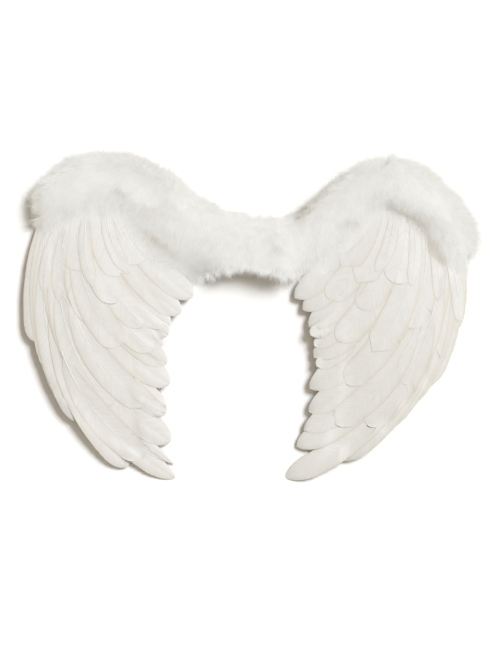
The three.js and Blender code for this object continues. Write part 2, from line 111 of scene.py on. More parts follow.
# %% [markdown]
# ## The finishes
# Everything here is white, so the finishes differ in how they take the light: a feather is
# smooth, and fur, felt and elastic are matt. A finish could be a picture laid on the surface, but
# a network of nodes stays sharp from close by and never repeats. The helpers below shorten the
# writing of such a network, and each finish after them uses a few of them.

# %% A helper that starts a finish
SHINE = 0.25


def start_finish(name, roughness, sheen):
    finish = bpy.data.materials.new(name)
    finish.use_nodes = True
    shader = finish.node_tree.nodes["Principled BSDF"]
    shader.inputs["Roughness"].default_value = roughness
    shader.inputs["Specular IOR Level"].default_value = SHINE
    shader.inputs["Sheen Weight"].default_value = sheen
    return finish, finish.node_tree.nodes, finish.node_tree.links, shader


# %% Helpers that read a mark, work with it, and turn it into colour or relief
def read_mark(nodes, name):
    node = nodes.new("ShaderNodeAttribute")
    node.attribute_name = name
    return node.outputs["Fac"]


def calculate(nodes, links, operation, *values):
    node = nodes.new("ShaderNodeMath")
    node.operation = operation
    for socket, value in zip(node.inputs, values):
        if isinstance(value, (int, float)):
            socket.default_value = value
        else:
            links.new(value, socket)
    return node.outputs[0]


def blend_colours(nodes, links, share, first, second):
    node = nodes.new("ShaderNodeMix")
    node.data_type = "RGBA"
    links.new(share, node.inputs["Factor"])
    for socket, colour in ((node.inputs[6], first), (node.inputs[7], second)):
        if isinstance(colour, tuple):
            socket.default_value = (*colour, 1)
        else:
            links.new(colour, socket)
    return node.outputs[2]


def raise_surface(nodes, links, shader, height, distance, strength):
    node = nodes.new("ShaderNodeBump")
    node.inputs["Strength"].default_value = strength
    node.inputs["Distance"].default_value = distance
    links.new(height, node.inputs["Height"])
    links.new(node.outputs["Normal"], shader.inputs["Normal"])


# %% Helpers for uneven patterns
def noise_over(nodes, links, *values):
    place = nodes.new("ShaderNodeCombineXYZ")
    for socket, value in zip(place.inputs, values):
        links.new(value, socket)
    node = nodes.new("ShaderNodeTexNoise")
    node.inputs["Scale"].default_value = 1.0
    links.new(place.outputs[0], node.inputs["Vector"])
    return node.outputs["Fac"]


def speckle(nodes, links, scale, detail):
    place = nodes.new("ShaderNodeTexCoord")
    node = nodes.new("ShaderNodeTexNoise")
    node.inputs["Scale"].default_value = scale
    node.inputs["Detail"].default_value = detail
    links.new(place.outputs["Object"], node.inputs["Vector"])
    return node.outputs["Fac"]


# %% [markdown]
# ## The feather finish
# The barbs of a vane lie side by side and lean towards its tip, so light catches them as fine
# slanting ribs, and some are a little darker than others. One pattern for all feathers would cut
# across them. So every point carries how far along and across its own feather it lies, and the
# ribs and streaks are worked out from that. They then follow each feather's bend. A feather also
# has a tone of its own, and a thin warm line of painted shade along its edge, where the edge's
# shadow on the feather below would fall.

# %% The tones of a feather, and its ribs
FEATHER_WHITE = (0.73, 0.725, 0.715)
FEATHER_SHADE = (0.675, 0.665, 0.648)
FEATHER_STREAK = (0.66, 0.647, 0.625)
# The last tone is painted shade: a thin warm line along each vane's edge, where its shadow would
# fall.
FEATHER_EDGE_SHADE = (0.65, 0.61, 0.53)
BARB_PITCH = 1.3
BARB_LEAN = -1.1
BARB_HEIGHT = 0.06 * MM
BARB_STRENGTH = 0.5


def barb_lines(nodes, links):
    outward = calculate(nodes, links, "ABSOLUTE", read_mark(nodes, "across"))
    leaning = calculate(nodes, links, "MULTIPLY", outward, BARB_LEAN)
    return outward, calculate(nodes, links, "ADD", read_mark(nodes, "along"), leaning)


# %% Feather: a tone, then streaks along the barbs, then painted shade along the edge
FEATHER_ROUGHNESS = 0.62
FEATHER_SHEEN = 0.15
TONE_SCALE = 90
TONE_DETAIL = 3
TONE_START = 0.45
STREAK_SCALES = (0.42, 0.05, 60)
STREAK_STRENGTH = 2.2
STREAK_START = -0.95
EDGE_NARROWNESS = 7


def feather_finish():
    finish, nodes, links, shader = start_finish("feather", FEATHER_ROUGHNESS, FEATHER_SHEEN)
    outward, rib = barb_lines(nodes, links)
    uneven = speckle(nodes, links, TONE_SCALE, TONE_DETAIL)
    tone = calculate(nodes, links, "ADD", read_mark(nodes, "tone"), uneven)
    share = calculate(nodes, links, "SUBTRACT", tone, TONE_START)
    colour = blend_colours(nodes, links, share, FEATHER_WHITE, FEATHER_SHADE)
    places = zip((rib, outward, read_mark(nodes, "tone")), STREAK_SCALES)
    lines = noise_over(nodes, links, *[calculate(nodes, links, "MULTIPLY", value, scale)
                                       for value, scale in places])
    streaks = calculate(nodes, links, "MULTIPLY_ADD", lines, STREAK_STRENGTH, STREAK_START)
    colour = blend_colours(nodes, links, streaks, colour, FEATHER_STREAK)
    # Painted shade along the edge of the vane, standing in for the shadow of the edge.
    rim = calculate(nodes, links, "POWER", read_mark(nodes, "edge"), EDGE_NARROWNESS)
    colour = blend_colours(nodes, links, rim, colour, FEATHER_EDGE_SHADE)
    links.new(colour, shader.inputs["Base Color"])
    turns = calculate(nodes, links, "MULTIPLY", rib, 2 * math.pi / BARB_PITCH)
    wave = calculate(nodes, links, "SINE", turns)
    raise_surface(nodes, links, shader, wave, BARB_HEIGHT, BARB_STRENGTH)
    return finish


FEATHER = feather_finish()

# %% [markdown]
# ## The fur finish
# A hair is too thin to carry a pattern. What the eye sees in white fur is bright tips over darker
# and warmer roots, where less light gets in. Shadows alone could give that, but the ribbons of
# this lesson are wider than real hair and would shade one another too much. So every point of a
# hair carries its reach, which is low in the depth of the pile and 1 at a lit tip, and the finish
# blends two tones by it: the darker one is painted shade.

# %% Fur: pale tips over roots in painted shade
FUR_TIP = (0.80, 0.81, 0.815)
# The root tone is painted shade, for the depth of the pile.
FUR_ROOT_SHADE = (0.52, 0.485, 0.42)
FUR_ROUGHNESS = 0.85
FUR_SHEEN = 0.2


def fur_finish():
    finish, nodes, links, shader = start_finish("fur", FUR_ROUGHNESS, FUR_SHEEN)
    reach = read_mark(nodes, "reach")
    colour = blend_colours(nodes, links, reach, FUR_ROOT_SHADE, FUR_TIP)
    links.new(colour, shader.inputs["Base Color"])
    return finish


FUR = fur_finish()

# %% [markdown]
# ## The finishes of the felt and the elastic
# Felt is a tangle of wool fibres pressed flat, and the yarn of elastic is fuzzy too. Both are
# uneven in tone and in height at once, because a fibre on top is both higher and brighter. One
# fine noise can therefore drive the colour and the relief, and only its size, depth and tones
# differ. The larger forms, which are loose fibres and woven ribs, are real shapes further down.

# %% A finish for fibres, used twice
FELT_TONES = ((0.80, 0.78, 0.72), (0.88, 0.865, 0.82))
ELASTIC_TONES = ((0.80, 0.79, 0.76), (0.88, 0.87, 0.85))


def fibre_finish(name, roughness, sheen, scale, detail, tones, height, strength):
    finish, nodes, links, shader = start_finish(name, roughness, sheen)
    tangle = speckle(nodes, links, scale, detail)
    colour = blend_colours(nodes, links, tangle, *tones)
    links.new(colour, shader.inputs["Base Color"])
    raise_surface(nodes, links, shader, tangle, height, strength)
    return finish


FELT = fibre_finish("felt", roughness=0.95, sheen=0.3, scale=1500, detail=6, tones=FELT_TONES,
                    height=0.3 * MM, strength=0.6)
ELASTIC = fibre_finish("elastic", roughness=0.8, sheen=0.2, scale=2500, detail=3,
                       tones=ELASTIC_TONES, height=0.1 * MM, strength=0.5)
print("finishes:", [finish.name for finish in (FEATHER, FUR, FELT, ELASTIC)])

# %% [markdown]
# ## Reading a feather back from its solid
# Each feather's solid is a thin leaf with a ridge: eight stations, each with a point on the left
# edge, one on the right edge and two on the ridge, over and under. On the plan the ridge lies
# exactly half way between the edges. That is enough to find the stations again, whatever order
# the points were stored in.

# %% Points that lie over one another belong to the ridge, and the others to the edges
PLAN_CELL = 0.01 * MM
SAME_CELLS = 3
DECIMALS = 7


def plan_key(point):
    return tuple(np.round(point[:2] / PLAN_CELL).astype(int))


def ridge_and_edges(node):
    points = np.array([vertex.co for vertex in frame["nodes"][node].data.vertices])
    points = np.unique(np.round(points, DECIMALS), axis=0)
    piles = {}
    for point in points:
        near = [key for key in piles if max(abs(key[0] - plan_key(point)[0]),
                                            abs(key[1] - plan_key(point)[1])) <= SAME_CELLS]
        piles.setdefault(near[0] if near else plan_key(point), []).append(point)
    ridge = np.array([max(pile, key=lambda point: point[2])
                      for pile in piles.values() if len(pile) > 1])
    edges = np.array([pile[0] for pile in piles.values() if len(pile) == 1])
    return ridge, edges


# %% The stations of one feather, from its root to its tip
def read_stations(node):
    ridge, edges = ridge_and_edges(node)
    stations = []
    for top in ridge:
        middles = (edges[:, None, :2] + edges[None, :, :2]) / 2
        misses = np.linalg.norm(middles - top[:2], axis=2) + np.eye(len(edges))
        i, k = np.unravel_index(np.argmin(misses), misses.shape)
        stations.append((top, edges[i], edges[k]))
    span = np.linalg.norm(ridge[:, None] - ridge[None], axis=2)
    first = ridge[np.unravel_index(np.argmax(span), span.shape)[0]]
    stations.sort(key=lambda station: np.linalg.norm(station[0] - first))
    tops = np.array([station[0] for station in stations])
    if np.linalg.norm(tops[1] - tops[0]) < np.linalg.norm(tops[-1] - tops[-2]):
        stations.reverse()
    return [tidy_sides(stations, i) for i in range(len(stations))]


def tidy_sides(stations, i):
    top, one, other = stations[i]
    before = stations[max(i - 1, 0)][0]
    after = stations[min(i + 1, len(stations) - 1)][0]
    way = (after - before)[:2]
    reach = (one - top)[:2]
    is_left = way[0] * reach[1] - way[1] * reach[0] > 0
    return (top, one, other) if is_left else (top, other, one)


# %% All feathers, in the order in which they were glued on
feather_nodes = [name for name in frame["nodes"] if "_flight_" in name or "_covert_" in name]
LAYERS = ("flight", "greater_covert", "median_covert", "lesser_covert")
feather_nodes.sort(key=lambda name: (
    name.split("_")[0], LAYERS.index(name.split("_", 1)[1][:-3]), name))
stations_of = {name: read_stations(name) for name in feather_nodes}
print("feathers:", len(stations_of), "with stations:", {len(s) for s in stations_of.values()})


# %% [markdown]
# ## Smooth lines through a few stations
# Eight stations would give a feather straight pieces and corners. A smooth curve through them
# could overshoot where they lie at uneven distances. The curve below takes its slope at each
# station from the two pieces beside it, each weighted by the other's length, so it stays close to
# the solid.

# %% Smooth rows between a few known ones
def read_between(shares, rows, at):
    steps = np.diff(shares)[:, None]
    slopes = np.diff(rows, axis=0) / steps
    tangents = np.vstack([
        slopes[:1],
        (slopes[:-1] * steps[1:] + slopes[1:] * steps[:-1]) / (steps[:-1] + steps[1:]),
        slopes[-1:],
    ])
    i = np.clip(np.searchsorted(shares, at) - 1, 0, len(steps) - 1)
    h = steps[i][..., 0, None]
    t = ((at - shares[i])[..., None]) / h
    return ((1 + 2 * t) * (1 - t) ** 2 * rows[i] + t * (1 - t) ** 2 * h * tangents[i]
            + t ** 2 * (3 - 2 * t) * rows[i + 1] - t ** 2 * (1 - t) * h * tangents[i + 1])


# %% [markdown]
# ## A feather
# A real feather is a shaft with a vane on each side. The vane is made of hundreds of barbs that
# run outward and towards the tip, hooked together into a sheet. Handling unhooks them here and
# there, so the edge is split into bunches. Modelling every barb would cost too many faces, and a
# plain leaf would look like paper. So the vane is a lattice whose rows follow the barbs. It is cut
# into bunches at a few rows, each split opens towards the edge, and every bunch is a thin closed
# slab. The shaft is a tapered rod along the ridge.

# %% The faces of a closed slab over a lattice
def slab_faces(rows, columns):
    index = np.arange(rows * columns).reshape(rows, columns)
    top = np.stack([index[:-1, :-1], index[:-1, 1:], index[1:, 1:], index[1:, :-1]], -1)
    under = top[..., ::-1] + rows * columns
    rim = np.concatenate([index[0, ::-1], index[1:, 0], index[-1, 1:], index[-2:0:-1, -1]])
    beside = np.roll(rim, -1)
    walls = np.stack([rim, beside, beside + rows * columns, rim + rows * columns], -1)
    return np.concatenate([top.reshape(-1, 4), under.reshape(-1, 4), walls])


# %% A feather's own shape: its middle line, its half width and how sharp its end is
ROUND_FROM = 0.89
POINT_FROM = 0.72
BLUNT_WIDTH = 0.4
BLUNT_END = 0.4
CROWN = 0.45 * MM
USUAL_SHARPNESS = 0.12
RIGHT_SHARPNESS = 0.35
SHARPNESS = {"left_flight_06": 0.35, "left_flight_07": 0.8}


def sharpness_of(node):
    usual = RIGHT_SHARPNESS if node.startswith("right_flight") else USUAL_SHARPNESS
    return SHARPNESS.get(node, usual)


def shape_of(stations, sharp):
    tops, left, right = (np.array([station[k] for station in stations]) for k in range(3))
    middle = (left + right) / 2
    steps = np.linalg.norm(np.diff(tops[:, :2], axis=0), axis=1)
    widths = np.linalg.norm(left - right, axis=1)
    blunt = widths[-1] > BLUNT_WIDTH * widths[3]
    end = ROUND_FROM + (POINT_FROM - ROUND_FROM) * sharp
    return {
        "shares": np.concatenate([[0], np.cumsum(steps)]) / steps.sum(),
        "rows": np.column_stack([middle, (left - right) / 2, tops[:, 2] - middle[:, 2]]),
        "length": steps.sum(),
        "half": widths.max() / 2,
        "blunt": blunt,
        "end": 1 - BLUNT_END * widths.max() / steps.sum() if blunt else end,
        "sharp": sharp,
    }


# %% Points on the surface of a feather, from their shares of its length and half width
POINT_FULLNESS = 1.6


def narrowing_at(shape, at):
    past = np.clip((at - shape["end"]) / (1 - shape["end"]), 0, 1)
    if shape["blunt"]:
        return 1 - past
    rounded, pointed = np.sqrt(1 - past ** 2), 1 - past ** POINT_FULLNESS
    return (1 - shape["sharp"]) * rounded + shape["sharp"] * pointed


def feather_surface(shape, at, across, side):
    found = read_between(shape["shares"], shape["rows"], at)
    half = read_between(shape["shares"], shape["rows"], np.minimum(at, shape["end"]))[..., 3:6]
    points = found[..., :3] + (side * across * narrowing_at(shape, at))[..., None] * half
    points[..., 2] += found[..., 6] * (1 - np.abs(across)) + CROWN * np.sin(math.pi * across)
    return points


# %% [markdown]
# ## Letting a feather sink onto those below it
# Glued feathers hug those under them. The solids can't show that, because each is stiff and keeps
# a small gap to its neighbours, and so their tips would stand up and cast hard shadows. A cloth
# simulation of 71 feathers would be slow and hard to steer. Instead each feather is lowered on a
# coarse grid of its own: every point goes down a little below the mean of its neighbours, again
# and again, until it lies a hair's breadth above what is under it.

# %% The pile so far, and the height of its top under a point
HIGH_UP = 1.0
DOWN = Vector((0, 0, -1))
NOTHING = -1.0

pile = []


def lay_on_pile(points, faces):
    tree = BVHTree.FromPolygons(points.tolist(), faces)
    pile.append((points[:, :2].min(axis=0), points[:, :2].max(axis=0), tree))


def ground_below(points):
    ground = np.full(points.shape[:2], NOTHING)
    for low, high, tree in pile:
        for i, k in np.argwhere(((points[..., :2] > low) & (points[..., :2] < high)).all(axis=2)):
            hit = tree.ray_cast(Vector((*points[i, k, :2], HIGH_UP)), DOWN)[0]
            if hit:
                ground[i, k] = max(ground[i, k], hit.z)
    return ground


# %% One feather sinks, and its tip most of all
SINK_ROWS = np.linspace(0, 1, 34)
SINK_COLUMNS = np.linspace(-1, 1, 9)
SINK_STEPS = 60
SINK_STEP = 0.12 * MM
TIP_PULL = 3
TIP_NARROWNESS = 8
LAYER_GAP = 0.25 * MM
TABLE_GAP = 0.3 * MM
FREE_SINK = 0.8 * MM


def sink(shape):
    at, across = np.meshgrid(SINK_ROWS, np.abs(SINK_COLUMNS), indexing="ij")
    points = feather_surface(shape, at, across, np.sign(SINK_COLUMNS))
    ground = ground_below(points)
    free = np.maximum(points[..., 2] - FREE_SINK, TABLE_GAP)
    least = np.where(ground > 0, ground + LAYER_GAP, free)
    z = np.maximum(points[..., 2], least)
    step = SINK_STEP * (1 + TIP_PULL * at ** TIP_NARROWNESS)
    for _ in range(SINK_STEPS):
        padded = np.pad(z, 1, mode="edge")
        mean = (padded[:-2, 1:-1] + padded[2:, 1:-1] + padded[1:-1, :-2] + padded[1:-1, 2:]) / 4
        z = np.maximum(least, np.minimum(z, mean - step))
    sunk = z - points[..., 2]
    points[..., 2] = z
    index = np.arange(z.size).reshape(z.shape)
    faces = np.stack([index[:-1, :-1], index[:-1, 1:], index[1:, 1:], index[1:, :-1]], -1)
    lay_on_pile(points.reshape(-1, 3), faces.reshape(-1, 4).tolist())
    return sunk


def read_sunk(sunk, at, across):
    row = np.clip(at, 0, 1) * (len(SINK_ROWS) - 1)
    column = (np.clip(across, -1, 1) + 1) / 2 * (len(SINK_COLUMNS) - 1)
    i = np.minimum(row.astype(int), len(SINK_ROWS) - 2)
    k = np.minimum(column.astype(int), len(SINK_COLUMNS) - 2)
    u, v = column - k, row - i
    return ((sunk[i, k] * (1 - u) + sunk[i, k + 1] * u) * (1 - v)
            + (sunk[i + 1, k] * (1 - u) + sunk[i + 1, k + 1] * u) * v)


def lay_felt():
    mesh = frame["nodes"]["backing_panel"].data
    points = np.array([vertex.co for vertex in mesh.vertices])
    lay_on_pile(points, [list(polygon.vertices) for polygon in mesh.polygons])


# %% Points on a feather that has sunk
def laid_points(shape, sunk, at, across, side):
    points = feather_surface(shape, at, across, side)
    points[..., 2] += read_sunk(sunk, at, np.broadcast_to(side * across, at.shape))
    return points


# %% The rows of a vane, closer together towards the tip, and where the vane is split
ROW_PITCH = 3.0 * MM
LEAST_ROWS = 16
ROWS_FROM = 0.02
END_SHARE = 0.1
END_ROWS = 6
LAST = 0.9998
SPLIT_ODDS = [0.5, 0.35, 0.15]
FIRST_SPLIT = 5


def vane_rows(length, draws):
    count = max(LEAST_ROWS, round(length / ROW_PITCH))
    near_end = 1 - END_SHARE * (1 - np.arange(1, END_ROWS + 1) / END_ROWS) ** 2
    rows = np.concatenate([np.linspace(ROWS_FROM, 1 - END_SHARE, count), near_end])
    cuts = draws.choice(len(SPLIT_ODDS), p=SPLIT_ODDS)
    splits = np.sort(draws.choice(np.arange(FIRST_SPLIT, count - 1), cuts, False))
    return np.minimum(rows, LAST), [0, *splits, len(rows) - 1]


# %% How near the edge of the vane each point lies, which the finish turns into a line of painted shade
ACROSS = np.array([0.015, 0.2, 0.42, 0.64, 0.84, 1.0])
EDGE_FADE = 0.25
TIP_EDGE = 0.9
TIP_EDGE_NARROWNESS = 12


def edge_shade_of(at):
    last_sixth = np.clip(at * 6 - 5, 0, 1)
    beside = ACROSS * (1 - EDGE_FADE * last_sixth)
    return np.maximum(beside, TIP_EDGE * at ** TIP_EDGE_NARROWNESS)


# %% One side of a vane, cut into bunches of barbs
SPLIT_OPEN = (0.1 * MM, 0.45 * MM)
SPLIT_ROWS = 2
SPLIT_FROM = 0.35
SPLIT_CURVE = 1.5
VANE_THICKNESS = 0.12 * MM
EDGE_WAVER = 0.012
EDGE_LIFT = (-0.05, 0.2)


def vane_side(shape, sunk, side, draws):
    even, bounds = vane_rows(shape["length"], draws)
    lean = shape["half"] / shape["length"] * ACROSS
    spread = np.clip((ACROSS - SPLIT_FROM) / (1 - SPLIT_FROM), 0, 1) ** SPLIT_CURVE
    for start, end in zip(bounds[:-1], bounds[1:]):
        rows = np.arange(start, end + 1)
        open_low, open_high = draws.uniform(*SPLIT_OPEN, 2) / shape["length"]
        nudge = (open_low * np.exp(-(rows - start) / SPLIT_ROWS) * (start > 0)
                 - open_high * np.exp(-(end - rows) / SPLIT_ROWS) * (end < len(even) - 1))
        at = even[rows][:, None] + lean * (1 - even[rows][:, None] ** 3) + nudge[:, None] * spread
        at = np.minimum(at, LAST)
        across = ACROSS * (1 + draws.normal(0, EDGE_WAVER, (len(rows), 1)) * ACROSS)
        top = laid_points(shape, sunk, at, across, side)
        top[..., 2] += draws.uniform(*EDGE_LIFT) * MM * ACROSS ** 2
        points = np.stack([top, top - [0, 0, VANE_THICKNESS]])
        length, half = shape["length"] / MM, shape["half"] / MM
        marks = np.stack([at * length, across * half, edge_shade_of(at)], axis=-1)
        yield points, slab_faces(*at.shape)[:, ::side], np.stack([marks, marks])


# %% The shaft: a tapered rod along the ridge, closed at both ends
SHAFT_SIDES = 6
SHAFT_ROOT = 0.9 * MM
SHAFT_TIP = 0.25 * MM
SHAFT_TAPER = 0.7
SHAFT_FLATNESS = 0.5
SHAFT_UNTIL = 0.975
LEAST_RINGS = 10


def shaft(shape, sunk):
    rings = max(LEAST_RINGS, round(shape["length"] / ROW_PITCH / 2))
    at = np.linspace(0.0, SHAFT_UNTIL, rings)
    line = laid_points(shape, sunk, at, np.zeros_like(at), 1)
    way = np.gradient(line, axis=0)
    beside = np.column_stack([-way[:, 1], way[:, 0], np.zeros(len(way))])
    beside /= np.linalg.norm(beside, axis=1)[:, None]
    radius = (SHAFT_ROOT + (SHAFT_TIP - SHAFT_ROOT) * at ** SHAFT_TAPER)[:, None, None]
    turn = 2 * math.pi * np.arange(SHAFT_SIDES) / SHAFT_SIDES
    ring = (radius * np.cos(turn)[:, None] * beside[:, None]
            + radius * SHAFT_FLATNESS * np.sin(turn)[:, None] * np.array([0, 0, 1.0]))
    index = np.arange(len(at) * SHAFT_SIDES).reshape(-1, SHAFT_SIDES)
    turned = np.roll(index, -1, axis=1)
    tube = np.stack([index[:-1], turned[:-1], turned[1:], index[1:]], -1).reshape(-1, 4)
    caps = [index[0, [0, 5, 4, 3]], index[0, [0, 3, 2, 1]],
            index[-1, [0, 1, 2, 3]], index[-1, [0, 3, 4, 5]]]
    along = np.repeat(at * shape["length"] / MM, SHAFT_SIDES)
    marks = np.column_stack([along, np.zeros_like(along), np.zeros_like(along)])
    return line[:, None] + ring, np.vstack([tube, caps]), marks


# %% One feather as a piece
TONE_SPREAD = 0.3
CREASE = 55


def feather_piece(name, shape, draws, painted_shade_extra=0.0):
    # The tone is random, plus painted shade for the feathers that face the window.
    tone = draws.uniform(0, TONE_SPREAD) + painted_shade_extra
    sunk = sink(shape)
    blocks = [block for side in (1, -1) for block in vane_side(shape, sunk, side, draws)]
    blocks.append(shaft(shape, sunk))
    points = [block[0].reshape(-1, 3) for block in blocks]
    firsts = np.cumsum([0] + [len(block) for block in points])
    quads = [block[1] + first for block, first in zip(blocks, firsts)]
    marks = np.concatenate([block[2].reshape(-1, 3) for block in blocks])
    piece = make_piece(name, np.concatenate(points), np.concatenate(quads))
    for column, mark_name in enumerate(("along", "across", "edge")):
        mark(piece, mark_name, marks[:, column])
    mark(piece, "tone", np.full(len(marks), tone))
    piece.data.set_sharp_from_angle(angle=math.radians(CREASE))
    return piece


# %% [markdown]
# ## Small feathers without a solid of their own
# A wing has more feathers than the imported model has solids. Short ones fill the gaps along the
# inner edge, and slender ones lie over the roots and disappear under the fur. They could be
# copies of a neighbour, but the eye finds copies quickly. So each has a root, a tip, a bow and a
# width of its own, all read off the wings, and takes its height from the pile that it lies on.

# %% The shape of a small feather
SMALL_SHARES = np.array([0, 0.12, 0.3, 0.5, 0.65, 0.8, 0.9, 1.0])
SMALL_WIDTHS = np.array([0.3, 0.62, 0.9, 1.0, 1.0, 0.97, 0.9, 0.2])
SMALL_LIFT = 0.8 * MM
SMALL_RIDGE = 0.3 * MM


def small_shape(root, tip, bow, width, sharp):
    root, tip = np.array(root) * MM, np.array(tip) * MM
    way = tip - root
    beside = np.array([-way[1], way[0]]) / np.linalg.norm(way)
    bend = bow * np.linalg.norm(way) * 4 * SMALL_SHARES * (1 - SMALL_SHARES)
    middle = root + way * SMALL_SHARES[:, None] + beside * bend[:, None]
    middle = np.column_stack([middle, np.zeros(len(middle))])
    heights = ground_below(middle[None])[0]
    laid = heights > 0
    heights = np.interp(SMALL_SHARES, SMALL_SHARES[laid], heights[laid])
    middle[:, 2] = heights + SMALL_LIFT
    half = np.append(beside, 0) * (SMALL_WIDTHS * width * MM / 2)[:, None]
    tops = middle + [0, 0, SMALL_RIDGE]
    return shape_of(list(zip(tops, middle + half, middle - half)), sharp)


# %% Their roots and tips in mm, their bows as shares of their lengths, and their widths in mm
EDGE_FEATHERS = {
    "left_flight_10": [((-159, -76), (-112, -130), -0.1, 24)],
    "left_flight_13": [((-158, 18), (-108, -25), -0.1, 24)],
    "right_flight_12": [((142, -24), (88, -66), 0.08, 22)],
    "right_flight_13": [((140, 2), (85, -39), 0.08, 20), ((134, 20), (80, -25), 0.08, 22)],
}
SMALL_FEATHERS = {
    "left": [
        ((-252, 122), (-272, 30), -0.05, 17), ((-238, 130), (-252, 18), -0.05, 18),
        ((-216, 138), (-206, 38), -0.06, 19), ((-190, 148), (-160, 56), -0.08, 20),
        ((-164, 140), (-112, 70), -0.1, 19),
    ],
    "right": [
        ((160, 138), (108, 82), 0.1, 18), ((190, 140), (166, 58), 0.08, 19),
        ((214, 134), (212, 40), 0.06, 18), ((238, 118), (248, 20), 0.05, 18),
        ((258, 100), (275, -8), 0.05, 17),
    ],
}
small_ones = [*EDGE_FEATHERS.values(), *SMALL_FEATHERS.values()]
print("small feathers:", sum(len(specs) for specs in small_ones))


# %% [markdown]
# ## Laying the feathers
# The maker of such wings starts at the outer edge and works inward, so that each feather covers
# the root of the last. The order matters here too, because a feather only sinks onto what already
# lies on the pile. Each has its own seed, so its splits stay the same however the others change.
# A few flight feathers on each wing face the window and get painted shade, so that they look no
# brighter than the rest.

# %% A small feather takes its turn
EDGE_SHARPNESS = 0.3
EDGE_SEED = 200
SMALL_SHARPNESS = 0.7
SMALL_SEED = 300


def lay_small(name, spec, sharp, seed):
    piece = feather_piece(name, small_shape(*spec, sharp), np.random.default_rng(seed))
    dress(piece, FEATHER, "feather")


# %% Every feather in turn, from the felt up
# Painted shade: these feathers face the window and would catch more light than the rest, so they
# are made darker.
PAINTED_SHADE_BY = 0.6
FEATHERS_WITH_PAINTED_SHADE = [f"left_flight_{number}" for number in (11, 12, 13, 14, 15)]
FEATHERS_WITH_PAINTED_SHADE += [f"right_flight_0{number}" for number in (1, 2, 3, 4)]

lay_felt()
for number, node in enumerate(feather_nodes):
    for turn, spec in enumerate(EDGE_FEATHERS.get(node, [])):
        name = f"{node}_edge_feather_{turn + 1}"
        lay_small(name, spec, EDGE_SHARPNESS, EDGE_SEED + 2 * number + turn)
    shape = shape_of(stations_of[node], sharpness_of(node))
    feather = feather_piece(f"{node}_vane", shape, np.random.default_rng(number),
                            PAINTED_SHADE_BY if node in FEATHERS_WITH_PAINTED_SHADE else 0.0)
    dress(feather, FEATHER, "feather", node)
for wing, specs in SMALL_FEATHERS.items():
    for number, spec in enumerate(specs, 1):
        name = f"{wing}_small_feather_{number:02d}"
        lay_small(name, spec, SMALL_SHARPNESS, SMALL_SEED + number)
dressed = [piece for piece in bpy.data.objects if "feather" in piece.name or "_vane" in piece.name]
print("feathers dressed:", len(dressed), "faces:",
      sum(len(piece.data.polygons) for piece in dressed))

# %% [markdown]
# ## The ground under the fur
# The fur is sewn down along the wings' leading edge. To grow its hair we need the skin that it
# grows from: a soft mound a little inside the fur's solid. Pushing the solid's own faces inward
# would fold them over each other at the tufts. Heights on a square grid can't fold, and they are
# easy to soften, so rays are dropped on the solids from above, once for the fur and once for what
# lies under it.

# %% Heights seen from above, on a square grid
PITCH = 4.0 * MM
MARGIN = 24 * MM
fur_low, fur_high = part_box("fur_trim")
grid_x = np.arange(fur_low.x - MARGIN, fur_high.x + MARGIN, PITCH)
grid_y = np.arange(fur_low.y - MARGIN, fur_high.y + MARGIN, PITCH)


def heights_from_above(names):
    points, faces = [], []
    for name in names:
        mesh = frame["nodes"][name].data
        faces += [[len(points) + k for k in polygon.vertices] for polygon in mesh.polygons]
        points += [vertex.co.copy() for vertex in mesh.vertices]
    tree = BVHTree.FromPolygons(points, faces)
    heights = np.zeros((len(grid_y), len(grid_x)))
    for row, y in enumerate(grid_y):
        for column, x in enumerate(grid_x):
            hit = tree.ray_cast(Vector((x, y, HIGH_UP)), DOWN)[0]
            heights[row, column] = hit.z if hit else 0.0
    return heights


fur_top = heights_from_above(["fur_trim"])
wing_top = heights_from_above(feather_nodes + ["backing_panel"])
print("fur covers cm2:", round((fur_top > 0).sum() * (PITCH / 0.01) ** 2))


# %% Helpers for fields on the grid: softening, and distances
def soften(field, times):
    for _ in range(times):
        padded = np.pad(field, 1, mode="edge")
        field = (padded[:-2, 1:-1] + padded[2:, 1:-1] + padded[1:-1, :-2]
                 + padded[1:-1, 2:] + 2 * field) / 6
    return field


def distance_inside(mask):
    rows, columns = np.nonzero(~mask)
    outside = np.column_stack([grid_x[columns], grid_y[rows]])
    rows, columns = np.nonzero(mask)
    inside = np.column_stack([grid_x[columns], grid_y[rows]])
    distance = np.zeros(mask.shape)
    for row, column, point in zip(rows, columns, inside):
        distance[row, column] = np.sqrt(((outside - point) ** 2).sum(axis=1).min())
    return distance


def distance_to_line(line, x, y):
    nearest = np.full(np.shape(x), np.inf)
    for start, end in zip(line[:-1], line[1:]):
        way = np.subtract(end, start)
        share = ((x - start[0]) * way[0] + (y - start[1]) * way[1]) / (way @ way)
        share = np.clip(share, 0, 1)
        gap = np.hypot(x - start[0] - share * way[0], y - start[1] - share * way[1])
        nearest = np.minimum(nearest, gap)
    return nearest


# %% A soft round spot: its place in mm, its radius in mm, and what it adds in its middle
def spots_over(spots, x, y, size, steepness=4):
    for (spot_x, spot_y), radius, extra in spots:
        gap = np.hypot(x / MM - spot_x, y / MM - spot_y)
        yield extra * size * np.exp(-(gap / radius) ** steepness)


# %% How deep inside the fur's outline each place lies, drawn in where the photo's fur is slimmer
DRAWN_IN = (((-12, 26), 50, 8), ((-8, 44), 36, 14), ((-292, 118), 40, 6))
DEPTH_SOFTENING = 3

mesh_x, mesh_y = np.meshgrid(grid_x, grid_y)
depth = soften(distance_inside(fur_top > 0), DEPTH_SOFTENING)
for spot in spots_over(DRAWN_IN, mesh_x, mesh_y, MM):
    depth -= spot
print("deepest inside the outline, mm:", round(depth.max() / MM, 1))

# %% The fur's top and what lies under it, both without their steps
RAISED = (((-6, 56), 66, 16), ((-284, 122), 50, 6))
CREST_SOFTENING = 8
BASE_SOFTENING = 2
THIN_COVER = 0.15

